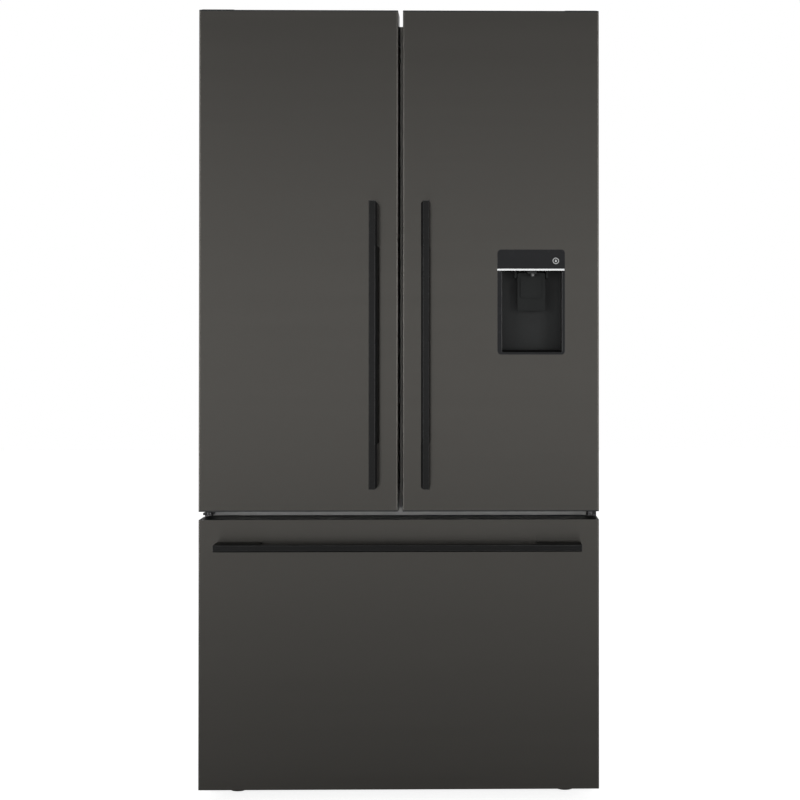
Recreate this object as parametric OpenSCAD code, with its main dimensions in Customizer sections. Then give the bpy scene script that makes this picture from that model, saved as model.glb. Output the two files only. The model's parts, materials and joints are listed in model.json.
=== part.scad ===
// French door refrigerator: two upper doors, a bottom freezer drawer, and the cold side behind them.
// The front faces -Y, the floor is z = 0, and x = 0 is the middle of the cabinet.

/* [Overall] */
// Width across the closed doors
body_w = 900; // [880:5:930]
// Depth from the handles' front to the rear cover
body_d = 752; // [740:2:800]
// Height of the doors' top edge above the floor
door_top = 1789; // [1785:1:1800]
// Height of the cabinet's top above the floor
cabinet_top = 1769; // [1766:1:1776]

/* [Doors and drawer] */
// Bottom edge of the two upper doors
door_bottom = 660.5; // [658:0.5:670]
// Top edge of the freezer drawer front
drawer_top = 642; // [638:1:648]
// Bottom edge of the freezer drawer front
drawer_bottom = 37; // [34:1:42]
// Clear gap between the two upper doors
door_gap = 11; // [8:1:14]
// Middle of that gap from the middle of the cabinet
meet_x = 2.5; // [-4:0.5:4]
// Thickness of each door
door_t = 72; // [70:1:74]
// Radius of the doors' vertical front edges
door_edge_r = 3; // [2:0.5:7]

/* [Handles] */
// How far the handles stand out from the doors
handle_out = 57; // [50:1:60]
// Thickness of a handle bar from front to back
handle_t = 15; // [12:1:18]
// Width of a handle bar
handle_w = 18.5; // [16:0.5:22]
// Distance of an upright handle from the middle of the gap between the doors
handle_x = 48.5; // [44:0.5:54]
// Lower end of the upright handles
handle_low = 715; // [700:5:730]
// Upper end of the upright handles
handle_high = 1355; // [1340:5:1370]
// Half the length of the drawer handle
handle_half = 408; // [390:2:420]
// Length of the solid post at each end of a handle
post_l = 100; // [60:5:120]

/* [Dispenser] */
// Middle of the dispenser from the middle of the refrigerator
dispenser_x = 297; // [290:1:305]
// Width of the dispenser frame
dispenser_w = 152; // [140:0.5:160]
// Lower edge of the dispenser frame
dispenser_low = 1013.5; // [1005:0.5:1020]
// Upper edge of the dispenser frame
dispenser_high = 1250; // [1245:1:1255]

/* [Inside] */
// Insulated wall thickness beside the fresh-food space
fridge_wall = 52; // [50:1:54]
// Insulated wall thickness beside the freezer space
freezer_wall = 62; // [60:1:64]
// Thickness of the shelf glass
glass_t = 5; // [4:0.5:6]

/* [Hidden] */
$fn = 64;

// Sheet and wall thicknesses
skin_t = 1.2;
liner_t = 2;
tub_t = 3;
seam = 0.1; // foam blocks stand this far apart
eps = 0.5; // extra length of a cutting shape

// Planes from front to back
handle_y = -body_d / 2;
front_y = handle_y + handle_out;
door_back_y = front_y + door_t;
gasket_t = 8;
cab_front_y = door_back_y + gasket_t;
cover_t = 6;
cab_back_y = body_d / 2 - cover_t;
core_back_y = door_back_y - 2.5;

// Cabinet box
half_w = body_w / 2;
cab_x = half_w;
cab_bottom = 45;
fridge_x = cab_x - fridge_wall;
freezer_x = cab_x - freezer_wall;
fridge_floor = 700;
fridge_ceiling = 1722;
freezer_floor = 95;
freezer_ceiling = 620;
back_wall_y = 290;
cover_y = 225; // front face of the freezer's coil cover
step_y = 120; // freezer floor ends here, above the machine bay
step_z = 338;
bay_y = 168;
bay_top = 290;
rail_x = cab_x - 10; // half the length of the rail between the two spaces

// Door hinge axis, for the left door
hinge_x = -(half_w - 18);
hinge_y = front_y + 35;
pin_r = 5;
bore_r = 5.3;
cap_h = 30;
lip_h = 3; // part of a cap that shows as the door's edge
gasket_w = 20;

// Mullion flap hinge axis
flap_x = -40;
flap_y = cab_front_y + 8;
flap_l = 76;
flap_low = 712;
flap_high = 1712;

// Door shelves
dyke_w = 24;
dyke_low = 935;
dyke_high = 1700;
dyke_y = -200;
bin_back_y = -150;
bin_h = 95;
bin_levels = [975, 1225, 1480];

// Crispers stand each side of an off-centre post that the folded flap lines up with
crisper_front_y = -95;
crisper_rear_y = 262;
crisper_low = 703;
crisper_high = 893;
post_x = [-50, -30];

// Shelf heights, left and right of the air tower
left_shelves = [1215, 1480];
right_shelves = [1365, 1560];
split_shelf_z = 1140;
crisper_glass_z = 905;
shelf_front_y = -130;
shelf_rear_y = 275;
split_y = 70;
arm_y = back_wall_y - 6.2; // the arms stop just short of their tracks
split_arm_z = split_shelf_z - 8;

// Drawer slides, on the right side
rail_z = [360, 400];
rail_y = [-228, 205];

// Dispenser
disp_x = [dispenser_x - dispenser_w / 2, dispenser_x + dispenser_w / 2];
disp_z = [dispenser_low, dispenser_high];
recess_x = [disp_x[0] + 10, disp_x[1] - 6.5];
recess_z = [dispenser_low + 5, dispenser_low + 189];
recess_back_y = front_y + 55;
strip_z = [recess_z[1], recess_z[1] + 4.2];
button_pos = [disp_x[1] - 20.5, dispenser_high - 25.5];
button_r = 7.6;
paddle_x = [dispenser_x - 30, dispenser_x + 33];
paddle_y = front_y + 32;
paddle_z = recess_z[1] - 8;
nozzle_x = dispenser_x + 4;

// A box from its limits along each axis
module span(x, y, z) {
    translate([x[0], y[0], z[0]]) cube([x[1] - x[0], y[1] - y[0], z[1] - z[0]]);
}

// A flat rectangle with round corners
module rounded(x, y, r) {
    translate([x[0] + r, y[0]]) square([x[1] - x[0] - 2 * r, y[1] - y[0]]);
    translate([x[0], y[0] + r]) square([x[1] - x[0], y[1] - y[0] - 2 * r]);
    for (cx = [x[0] + r, x[1] - r]) {
        for (cy = [y[0] + r, y[1] - r]) translate([cx, cy]) circle(r);
    }
}

// A plate facing -Y, with round corners seen from the front
module front_plate(x, y, z, r) {
    translate([0, y[1], 0]) rotate([90, 0, 0]) linear_extrude(y[1] - y[0]) rounded(x, z, r);
}

// A block standing up, with round corners seen from above
module upright(x, y, z, r) {
    translate([0, 0, z[0]]) linear_extrude(z[1] - z[0]) rounded(x, y, r);
}

// Round bars along each axis, from their lower end
module bar_x(p, r, l) {
    translate(p) rotate([0, 90, 0]) cylinder(r = r, h = l);
}
module bar_y(p, r, l) {
    translate(p) rotate([-90, 0, 0]) cylinder(r = r, h = l);
}
module bar_z(p, r, l) {
    translate(p) cylinder(r = r, h = l);
}

module both_sides() {
    children();
    mirror([1, 0, 0]) children();
}

// An open-topped tub with round upright corners
module tub(x, y, z, t, r) {
    difference() {
        upright(x, y, z, r);
        upright([x[0] + t, x[1] - t], [y[0] + t, y[1] - t], [z[0] + t, z[1] + eps], r - t / 2);
    }
}

// Plan outline of a door: round front edges, open to the back
module door_plan(x, depth, r) {
    translate([x[0], front_y + r]) square([x[1] - x[0], depth - r]);
    translate([x[0] + r, front_y]) square([x[1] - x[0] - 2 * r, depth]);
    for (cx = [x[0] + r, x[1] - r]) translate([cx, front_y + r]) circle(r);
}

// The steel sheet round a door's front and sides
module door_skin(x, z) {
    depth = core_back_y - front_y;
    difference() {
        translate([0, 0, z[0]]) linear_extrude(z[1] - z[0]) door_plan(x, depth, door_edge_r);
        translate([0, skin_t, z[0] - eps])
            linear_extrude(z[1] - z[0] + 2 * eps)
                door_plan([x[0] + skin_t, x[1] - skin_t], depth, door_edge_r - skin_t);
    }
}

// What fills a door inside its sheet: the moulded end caps and the foam
module door_cap(x, z) {
    translate([0, skin_t, z[0]])
        linear_extrude(z[1] - z[0])
            door_plan([x[0] + skin_t, x[1] - skin_t], core_back_y - front_y - skin_t,
                door_edge_r - skin_t);
}

// A magnetic gasket, as a ring facing the cabinet
module gasket(x, z) {
    difference() {
        front_plate(x, [door_back_y, cab_front_y - 0.3], z, 6);
        front_plate([x[0] + gasket_w, x[1] - gasket_w], [door_back_y - eps, cab_front_y + eps],
            [z[0] + gasket_w, z[1] - gasket_w], 2);
        // the bellows fold that lets the ring close up
        difference() {
            front_plate([x[0] - eps, x[1] + eps], [door_back_y + 3, door_back_y + 5],
                [z[0] - eps, z[1] + eps], 2);
            front_plate([x[0] + 3, x[1] - 3], [door_back_y + 2, door_back_y + 6],
                [z[0] + 3, z[1] - 3], 3);
        }
    }
}

// ---- Cabinet ----

module cabinet_shell() {
    t = 1;
    y = [cab_front_y, cab_back_y];
    color("#3a3b3d") {
        // pan under the freezer floor
        span([-cab_x + t, cab_x - t], [y[0] + 3, bay_y], [cab_bottom, cab_bottom + t]);
        difference() {
            span([-cab_x, cab_x], y, [cab_bottom, cabinet_top]);
            span([-cab_x + t, cab_x - t], [cab_front_y + t, cab_back_y + eps],
                [cab_bottom - eps, cabinet_top - t]);
            span([-fridge_x - liner_t, fridge_x + liner_t], [y[0] - eps, y[0] + 2 * t],
                [freezer_ceiling, fridge_ceiling + liner_t]);
            span([-freezer_x - liner_t, freezer_x + liner_t], [y[0] - eps, y[0] + 2 * t],
                [cab_bottom - eps, freezer_ceiling + eps]);
            span([-rail_x - seam, rail_x + seam], [y[0] - eps, y[0] + 2 * t],
                [freezer_ceiling + eps, fridge_floor - liner_t + seam]);
        }
    }
}

module rear_panels() {
    color("#26282a") {
        span([-cab_x + 1.2, cab_x - 1.2], [cab_back_y - 1, cab_back_y], [bay_top, cabinet_top - 1]);
        // louvred cover of the machine bay, with a cut-out at the water valve
        difference() {
            front_plate([-cab_x + 6, cab_x - 6], [cab_back_y, cab_back_y + cover_t],
                [cab_bottom + 10, bay_top + 20], 6);
            for (row = [0 : 8]) {
                for (cx = [-300, -150, 0, 150]) {
                    front_plate([cx, cx + 120], [cab_back_y - eps, cab_back_y + cover_t + eps],
                        [100 + row * 18, 106 + row * 18], 2.9);
                }
            }
            front_plate([352, 432], [cab_back_y - eps, cab_back_y + cover_t + eps], [88, 168], 6);
            bar_y([-400, cab_back_y - eps, 110], 10, cover_t + 2 * eps);
            // sunk seats for the cover's screws
            for (sx = [-430, -215, 0, 215, 430]) {
                for (sz = [68, 298]) bar_y([sx, cab_back_y + 3, sz], 7, cover_t);
            }
        }
    }
}

module insulation() {
    x0 = cab_x - 1;
    y0 = cab_front_y + 2.1;
    yb = cab_back_y - 1.1;
    fridge_out = fridge_x + liner_t;
    freezer_out = freezer_x + liner_t;
    color("#d9c27a") {
        both_sides() {
            span([fridge_out, x0], [y0, yb], [freezer_ceiling + liner_t, cabinet_top - 1]);
            span([freezer_out, x0], [y0, yb], [bay_top + seam, freezer_ceiling + liner_t - seam]);
            span([freezer_out, x0], [y0, bay_y - seam], [cab_bottom + 1, bay_top]);
        }
        inner = [-fridge_out + seam, fridge_out - seam];
        low = [-freezer_out + seam, freezer_out - seam];
        span(inner, [y0, yb], [fridge_ceiling + liner_t, cabinet_top - 1]);
        span(inner, [back_wall_y + liner_t, yb],
            [freezer_ceiling + liner_t, fridge_ceiling + liner_t - seam]);
        span(inner, [y0, back_wall_y + liner_t - seam],
            [freezer_ceiling + liner_t, fridge_floor - liner_t]);
        span(low, [back_wall_y + liner_t, yb], [step_z, freezer_ceiling + liner_t - seam]);
        span(low, [step_y + liner_t, yb], [bay_top + seam, step_z - liner_t]);
        span(low, [step_y + liner_t, bay_y - seam], [cab_bottom + 1, bay_top]);
        span(low, [y0, step_y + liner_t - seam], [cab_bottom + 1, freezer_floor - liner_t]);
    }
}

module fridge_liner() {
    t = liner_t;
    color("#f2f3f2") difference() {
        span([-fridge_x - t, fridge_x + t], [cab_front_y, back_wall_y + t],
            [fridge_floor - t, fridge_ceiling + t]);
        front_plate([-fridge_x, fridge_x], [cab_front_y - eps, back_wall_y],
            [fridge_floor, fridge_ceiling], 12);
    }
}

// The freezer's side outline, stepped over the machine bay
module freezer_outline(grow) {
    g = grow;
    polygon([
        [cab_front_y, freezer_floor - g], [step_y + g, freezer_floor - g],
        [step_y + g, step_z - g], [back_wall_y + g, step_z - g],
        [back_wall_y + g, freezer_ceiling + g], [cab_front_y, freezer_ceiling + g],
    ]);
}

module freezer_liner() {
    t = liner_t;
    color("#eceeee") difference() {
        rotate([90, 0, 90]) translate([0, 0, -freezer_x - t])
            linear_extrude(2 * (freezer_x + t)) freezer_outline(t);
        rotate([90, 0, 90]) translate([0, 0, -freezer_x])
            linear_extrude(2 * freezer_x) {
                freezer_outline(0);
                translate([cab_front_y - eps, freezer_floor])
                    square([2 * eps, freezer_ceiling - freezer_floor]);
            }
    }
}

module front_rails() {
    color("#a9abab") {
        span([-rail_x, rail_x], [cab_front_y, cab_front_y + 2],
            [freezer_ceiling + liner_t, fridge_floor - liner_t]);
        span([-freezer_x - liner_t + 0.2, freezer_x + liner_t - 0.2], [cab_front_y, cab_front_y + 2],
            [cab_bottom, freezer_floor - liner_t]);
    }
}

module base_frame() {
    rail_w = 40;
    y = [cab_front_y + 20, cab_back_y - 4];
    color("#232527") {
        difference() {
            union() {
                span([-cab_x, cab_x], [y[0], y[0] + rail_w + 30], [27, cab_bottom]);
                both_sides() span([cab_x - rail_w, cab_x], y, [27, cab_bottom]);
                span([-cab_x, cab_x], [bay_y, y[1]], [41, cab_bottom]);
                both_sides() for (x = [386, 410]) span([x, x + 4], [275, 325], [10, 43]);
            }
            both_sides() {
                bar_z([380, y[0] + 35, 20], 6.4, 40);
                bar_x([380, 300, 20], 4.3, 40);
                // wheel wells above the rear rollers
                span([390, 410], [272, 328], [26, 42]);
            }
        }
        // slotted toe grille below the drawer
        difference() {
            span([-cab_x + 4, cab_x - 4], [y[0] + 4, y[0] + 7], [6, 27]);
            for (i = [-14 : 14]) span([i * 29 - 10, i * 29 + 10], [y[0], y[0] + 12], [11, 23]);
        }
    }
}

module compressor() {
    color("#1d1f21") {
        translate([215, 268, 66]) rotate_extrude() {
            intersection() {
                rounded([-84, 84], [0, 165], 42);
                square([200, 400]);
            }
        }
        // mounting plate and feet
        difference() {
            upright([95, 335], [190, 346], [58, 62], 12);
            for (x = [112, 318]) for (y = [206, 330]) bar_z([x, y, 50], 6, 20);
        }
        bar_z([215, 268, 61], 40, 8);
        for (x = [112, 318]) for (y = [206, 330]) bar_z([x, y, 45.2], 5.7, 22);
        // start relay box
        span([294, 318], [240, 296], [100, 160]);
    }
}

// Fin-and-tube block: tubes along x, joined by end plates
module coil_block(x, y, z, rows, cols) {
    for (px = [x[0], x[1] - 3, (x[0] + x[1]) / 2]) span([px, px + 3], y, z);
    for (i = [0 : cols - 1]) {
        for (k = [0 : rows - 1]) {
            py = y[0] + (y[1] - y[0]) * (i + 0.5) / cols;
            pz = z[0] + (z[1] - z[0]) * (k + 0.5) / rows;
            bar_x([x[0] - 8, py, pz], 3.5, x[1] - x[0] + 16);
        }
    }
}

module coils() {
    color("#8f8f8b") {
        coil_block([-400, -160], [200, 340], [60, 250], 5, 4);
        coil_block([-330, 330], [236, 284], [352, 470], 4, 2);
    }
}

module fan_shroud() {
    color("#2b2d2f") difference() {
        span([-118, -112], [174, 360], [46, 284]);
        bar_x([-120, 267, 160], 82, 12);
        for (y = [184, 350]) for (z = [58, 272]) bar_x([-120, y, z], 2.6, 12);
    }
    color("#2b2d2f") {
        // motor and the three arms that hold it
        bar_x([-112, 267, 160], 22, 34);
        for (a = [0, 120, 240]) {
            translate([-109, 267, 160]) rotate([a, 0, 0]) span([-3, 3], [-4, 4], [10, 86]);
        }
    }
}

module condenser_fan() {
    color("#e4e5e3") {
        bar_x([-146, 267, 160], 20, 26);
        for (a = [0 : 72 : 359]) {
            translate([-133, 267, 160]) rotate([a, 0, 0])
                translate([0, 0, 16]) rotate([0, 0, 32]) span([-1, 1], [-19, 19], [0, 58]);
        }
    }
}

module water_valve() {
    color("#d8d9d4") {
        upright([372, 412], [312, 352], [100, 150], 4);
        bar_z([392, 332, 149], 15, 26);
        bar_y([392, 351, 125], 9, cab_back_y + 4 - 351);
        span([380, 404], [300, 313], [46, 128]);
    }
}

module cord_gland() {
    color("#141516") difference() {
        union() {
            bar_y([-400, cab_back_y - 6, 110], 9.8, cover_t + 6);
            bar_y([-400, cab_back_y - 6, 110], 13, 5.8);
        }
        bar_y([-400, cab_back_y - 8, 110], 4.5, cover_t + 10);
    }
}

module door_hinges() {
    leaf = cabinet_top;
    arm = door_top + 1;
    color("#8d9092") both_sides() {
        // top hinge: leaf on the cabinet, riser, arm and pin
        difference() {
            span([-cab_x + 4, -380], [cab_front_y + 3, -140], [leaf, leaf + 3]);
            for (x = [-428, -396]) bar_z([x, -165, leaf - 1], 3.4, 6);
        }
        span([-cab_x + 4, -400], [cab_front_y + 3, cab_front_y + 6], [leaf, arm + 3]);
        span([-cab_x + 4, -416], [hinge_y, cab_front_y + 6], [arm, arm + 3]);
        bar_z([hinge_x, hinge_y, arm], 14, 3);
        bar_z([hinge_x, hinge_y, door_top - 24], pin_r, 26);
        // middle hinge: plate on the front rail, arm, washer and pin
        span([-445, -427], [cab_front_y - 3, cab_front_y], [drawer_top + 4, door_bottom - 4]);
        span([-cab_x + 4, -426], [hinge_y, cab_front_y - 1], [drawer_top + 7, drawer_top + 12]);
        bar_z([hinge_x, hinge_y, drawer_top + 7], 9, 5);
        bar_z([hinge_x, hinge_y, drawer_top + 8], pin_r, 33);
        bar_z([hinge_x, hinge_y, drawer_top + 11], 8, door_bottom - drawer_top - 11.5);
    }
}

module hinge_covers() {
    top = door_top + 6;
    color("#2c2e30") both_sides() difference() {
        union() {
            upright([-cab_x + 1, -374], [hinge_y - 12, -134], [door_top + 1, top], 4);
            upright([-cab_x + 1, -374], [cab_front_y + 1, -134], [cabinet_top, top], 4);
        }
        span([-cab_x + 3, -376], [cab_front_y + 2.5, -136], [cabinet_top - eps, top - 1.8]);
        span([-cab_x + 3, -376], [hinge_y - 10, cab_front_y + 4], [door_top - 1, top - 1.8]);
        bar_z([hinge_x, hinge_y, door_top - 1], 14.3, top - 1.8 - door_top + 1);
        // hole for the cover's screw
        bar_z([-411, -190, top - 3], 5, 4);
    }
}

// ---- Fresh-food space ----

// A cantilever arm under a shelf, deep at the back and slim at the front
module shelf_arm(x, z) {
    translate([x - 1.5, 0, 0]) rotate([90, 0, 90]) linear_extrude(3) polygon([
        [arm_y, z - glass_t], [shelf_front_y + 30, z - glass_t],
        [shelf_front_y + 30, z - glass_t - 12], [back_wall_y - 60, z - glass_t - 34],
        [arm_y, z - glass_t - 34],
    ]);
}

module shelf_supports() {
    arm_x = [72, 374];
    color("#c9ccce") {
        for (s = [-1, 1]) for (x = arm_x) difference() {
            span([s * x - 7, s * x + 7], [back_wall_y - 6, back_wall_y], [950, 1690]);
            for (k = [0 : 27]) {
                span([s * x - 2.5, s * x + 2.5], [back_wall_y - 7, back_wall_y - 2],
                    [966 + k * 26, 978 + k * 26]);
            }
        }
        for (x = arm_x) {
            for (z = left_shelves) shelf_arm(-x, z);
            for (z = right_shelves) shelf_arm(x, z);
            shelf_arm(x, split_arm_z);
            // packers that hold the rear half clear of the sliding half
            span([x - 1.5, x + 1.5], [225, arm_y], [split_arm_z - glass_t, split_shelf_z - glass_t]);
        }
    }
}

module shelf_glass() {
    y = [shelf_front_y + 12, shelf_rear_y - 10];
    color("#bfe0d8", 0.5) {
        for (z = left_shelves) span([-390, -10], y, [z - glass_t, z]);
        for (z = right_shelves) span([10, 390], y, [z - glass_t, z]);
        span([10, 390], [split_y, y[1]], [split_shelf_z - glass_t, split_shelf_z]);
        span([-392, 392], [crisper_front_y + 14, crisper_rear_y + 4],
            [crisper_glass_z - glass_t, crisper_glass_z]);
    }
}

// White edging along a shelf's front and back
module edging(x, y, z) {
    difference() {
        union() {
            for (e = [[y[0], y[0] + 16], [y[1] - 14, y[1]]]) {
                upright(x, e, [z - glass_t - 5, z + 4], 3);
            }
            // thin side runners join front and back
            for (s = [[x[0], x[0] + 6], [x[1] - 6, x[1]]]) span(s, y, [z - glass_t - 3, z - glass_t]);
        }
        span([x[0] + 2, x[1] - 2], [y[0] + 12, y[1] - 10], [z - glass_t, z]);
        // notches for the arms and their tracks
        for (s = [-1, 1]) for (a = [72, 374]) {
            span([s * a - 2, s * a + 2], [y[0] + 20, y[1] + eps], [z - glass_t - 9, z - glass_t]);
            span([s * a - 7.5, s * a + 7.5], [back_wall_y - 6.5, y[1] + eps],
                [z - glass_t - 9, z + 9]);
        }
    }
}

module shelf_trim() {
    y = [shelf_front_y, shelf_rear_y];
    color("#f4f5f4") {
        for (z = left_shelves) edging([-392, -8], y, z);
        for (z = right_shelves) edging([8, 392], y, z);
        // the fixed rear half of the split shelf
        difference() {
            upright([8, 392], [split_y - 4, split_y + 12], [split_shelf_z - 8, split_shelf_z + 4], 3);
            span([10, 390], [split_y, split_y + 20], [split_shelf_z - glass_t, split_shelf_z]);
        }
        both_edges = [[8, 14], [386, 392]];
        for (s = both_edges) {
            span(s, [split_y + 11, y[1]], [split_shelf_z - 8, split_shelf_z - glass_t]);
        }
        // crisper lid frame and the post between the crispers
        difference() {
            upright([-396, 396], [crisper_front_y - 4, crisper_rear_y + 10],
                [crisper_glass_z - 10, crisper_glass_z + 3], 3);
            span([-392, 392], [crisper_front_y + 14, crisper_rear_y + 4],
                [crisper_glass_z - glass_t, crisper_glass_z + 5]);
            span([-384, 384], [crisper_front_y + 20, crisper_rear_y - 4],
                [crisper_glass_z - 12, crisper_glass_z]);
        }
        span(post_x, [crisper_front_y + 4, crisper_rear_y], [fridge_floor, crisper_glass_z - 10.2]);
        for (x = [-330, -110, 60, 300]) {
            span([x, x + 6], [crisper_front_y + 4, crisper_rear_y], [fridge_floor, crisper_low - 0.3]);
        }
    }
}

// The front half of the split shelf, which slides back under the rear half
module slide_shelf() {
    top = split_shelf_z - glass_t - 3.5;
    color("#bfe0d8", 0.5) {
        span([16, 384], [shelf_front_y + 10, split_y - 6], [top - glass_t + 1, top]);
        upright([16, 384], [shelf_front_y, shelf_front_y + 14], [top - glass_t + 1, top + 3], 3);
    }
}

// A crisper with a deeper front and a grip lip
module crisper(x) {
    y = [crisper_front_y, crisper_rear_y];
    z = [crisper_low, crisper_high];
    grip = (x[0] + x[1]) / 2;
    color("#dfe9ee", 0.6) difference() {
        union() {
            tub(x, y, z, tub_t, 8);
            span([x[0] + 8, x[1] - 8], [y[0] + 0.5, y[0] + 12], [z[1] - 26, z[1] - 14]);
        }
        front_plate([grip - 80, grip + 80], [y[0] - eps, y[0] + 8], [z[1] - 24, z[1] - 17], 3);
    }
}

module duct_covers() {
    color("#f0f1f0") {
        // air tower up the back wall
        difference() {
            upright([-58, 58], [back_wall_y - 14, back_wall_y + 8], [930, 1690], 8);
            span([-70, 70], [back_wall_y, back_wall_y + 20], [900, 1700]);
            upright([-52, 52], [back_wall_y - 10, back_wall_y + 8], [934, 1686], 5);
            for (z = [1060, 1290, 1430, 1620]) {
                for (s = [-1, 1]) for (k = [0 : 3]) {
                    front_plate([s * 30 - 16, s * 30 + 16], [back_wall_y - 18, back_wall_y - 8],
                        [z + k * 11, z + k * 11 + 5], 2.4);
                }
            }
        }
        // freezer coil cover with an air grille
        difference() {
            span([-freezer_x + 1, freezer_x - 1], [cover_y, cover_y + 3],
                [step_z + 1, freezer_ceiling - 1]);
            for (k = [0 : 5]) {
                front_plate([-90, 90], [cover_y - eps, cover_y + 4], [535 + k * 12, 541 + k * 12], 2.9);
            }
            for (k = [0 : 3]) {
                front_plate([-300, 300], [cover_y - eps, cover_y + 4], [350 + k * 10, 355 + k * 10], 2.4);
            }
        }
        // holder of the water filter, under the ceiling
        difference() {
            upright([-374, -296], [-90, 120], [1652, fridge_ceiling], 6);
            bar_y([-335, -90 - eps, 1690], 30.5, 180);
        }
    }
}

module lights() {
    color("#fbfaf2") {
        upright([-110, 110], [-150, -60], [fridge_ceiling - 7, fridge_ceiling], 10);
        upright([40, 150], [-60, -20], [freezer_ceiling - 6, freezer_ceiling], 6);
    }
}

module water_filter() {
    color("#e8ebec") {
        bar_y([-335, -88, 1690], 30, 170);
        bar_y([-335, -102, 1690], 31.5, 12);
        span([-340, -330], [-116, -101], [1664, 1716]);
    }
}

module ice_maker() {
    x = [-372, -240];
    color("#e9ecec") {
        difference() {
            upright(x, [-20, 200], [552, 606], 4);
            upright([x[0] + 22, x[1] - 6], [-2, 194], [564, 620], 4);
            bar_x([x[1] - 10, 100, 576], 3.2, 20);
        }
        // hanging strap up to the ceiling
        for (y = [10, 168]) span([x[0] + 4, x[0] + 14], [y, y + 20], [600, freezer_ceiling]);
        // control head
        upright([x[0], x[1]], [-48, -20], [545, 612], 4);
    }
}

// Wire arm that feels how full the ice bin is
module ice_arm() {
    color("#c5c8ca") {
        bar_x([-249.5, 100, 576], 2.8, 20);
        bar_y([-232, 98, 576], 2.5, 76);
        bar_z([-232, 172, 522], 2.5, 54);
        bar_x([-300, 172, 522], 2.5, 68);
    }
}

module freezer_rails() {
    color("#b9bcbe") {
        // fixed channel of each drawer slide
        both_sides() difference() {
            span([freezer_x - 12, freezer_x], rail_y, rail_z);
            span([freezer_x - 13, freezer_x - 2], [rail_y[0] - eps, rail_y[1] + eps],
                [rail_z[0] + 2, rail_z[1] - 2]);
        }
        // divider shelf that carries the ice bin and the upper drawer
        difference() {
            span([-freezer_x + 1, freezer_x - 1], [-70, 215], [404, 409]);
            for (i = [-11 : 11]) upright([i * 32 - 9, i * 32 + 9], [-50, 190], [400, 412], 6);
        }
    }
}

// The telescopic middle channels, one each side, on a tie bar
module slide_channels() {
    both_sides() difference() {
        span([freezer_x - 14, freezer_x - 4.5], [rail_y[0] + 3, rail_y[1] - 5],
            [rail_z[0] + 4, rail_z[1] - 4]);
        span([freezer_x - 15, freezer_x - 6.5], [rail_y[0] - 3, rail_y[1] + 5],
            [rail_z[0] + 6, rail_z[1] - 6]);
    }
}

module drawer_rails() {
    color("#aeb1b3") slide_channels();
}

module ice_bin() {
    color("#dfe9ee", 0.7) {
        tub([-362, -232], [-66, 200], [410, 512], tub_t, 6);
        span([-350, -244], [-78, -65], [496, 508]);
    }
}

module upper_drawer() {
    color("#dfe9ee", 0.7) {
        tub([-214, 366], [-66, 208], [410, 512], tub_t, 8);
        span([-120, 270], [-78, -65], [496, 508]);
    }
}

// ---- Feet and rollers ----

module foot(x) {
    y = cab_front_y + 55;
    color("#1b1c1d") {
        bar_z([x, y, 0], 20, 8);
        bar_z([x, y, 7], 6, 36);
        bar_z([x, y, 8], 11, 5);
    }
}

module rear_rollers() {
    color("#2a2b2c") both_sides() {
        difference() {
            bar_x([391, 300, 20], 20, 18);
            bar_x([390.5, 300, 20], 12, 3);
        }
        bar_x([384, 300, 20], 4, 34);
    }
}

// ---- Upper doors, drawn as the left one ----

left_x = [-half_w, meet_x - door_gap / 2];
right_x = [meet_x + door_gap / 2, half_w];
right_mirrored = [-right_x[1], -right_x[0]];
sheet_z = [door_bottom + lip_h, door_top - lip_h];
outer_dyke = [-395, -395 + dyke_w];
inner_dyke = [-84, -84 + dyke_w];

module door_caps(x) {
    color("#2c2e30") difference() {
        union() {
            door_cap(x, [door_bottom, door_bottom + cap_h]);
            door_cap(x, [door_top - cap_h, door_top]);
            for (z = [door_bottom, door_top - lip_h]) {
                translate([0, 0, z]) linear_extrude(lip_h)
                    door_plan(x, core_back_y - front_y, door_edge_r);
            }
        }
        bar_z([hinge_x, hinge_y, door_bottom - eps], bore_r, 24);
        bar_z([hinge_x, hinge_y, door_top - 25], bore_r, 26);
    }
}

// One upright dyke of the inner panel, less the wall thickness t
module dyke(x, t) {
    upright([x[0] + t, x[1] - t], [door_back_y - 12, dyke_y - t], [dyke_low + t, dyke_high - t],
        6 - t);
}

module left_door_core() {
    color("#d9c27a") {
        door_cap(left_x, [door_bottom + cap_h, door_top - cap_h]);
        for (d = [outer_dyke, inner_dyke]) difference() {
            dyke(d, liner_t);
            span([-460, 0], [door_back_y - 20, door_back_y + seam], [900, 1750]);
        }
    }
}

// The inner panel with its two dykes, up to the door's inner edge; foam stands inside them
module inner_panel(edge) {
    z = [door_bottom + 4, door_top - 4];
    difference() {
        union() {
            front_plate([-half_w + 4, edge - 4], [core_back_y, door_back_y], z, 8);
            for (d = [outer_dyke, inner_dyke]) difference() {
                dyke(d, 0);
                span([-460, 0], [door_back_y - 20, door_back_y - 1], [900, 1750]);
            }
        }
        for (d = [outer_dyke, inner_dyke]) difference() {
            dyke(d, liner_t);
            span([-460, 0], [door_back_y - 20, door_back_y], [900, 1750]);
        }
    }
}

module left_door_liner() {
    color("#f2f3f2") {
        inner_panel(left_x[1]);
        // lugs that hold the mullion flap's pins
        difference() {
            for (z = [[flap_low - 9, flap_low - 1], [flap_high + 1, flap_high + 8]]) {
                upright([flap_x - 8, flap_x + 6], [door_back_y - 1, flap_y + 8], z, 3);
            }
            bar_z([flap_x, flap_y, flap_low - 20], 3.3, 1100);
        }
    }
}

module upper_gasket() {
    color("#6d6f70") gasket([-half_w + 20, -14], [door_bottom + 7, 1755]);
}

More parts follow.
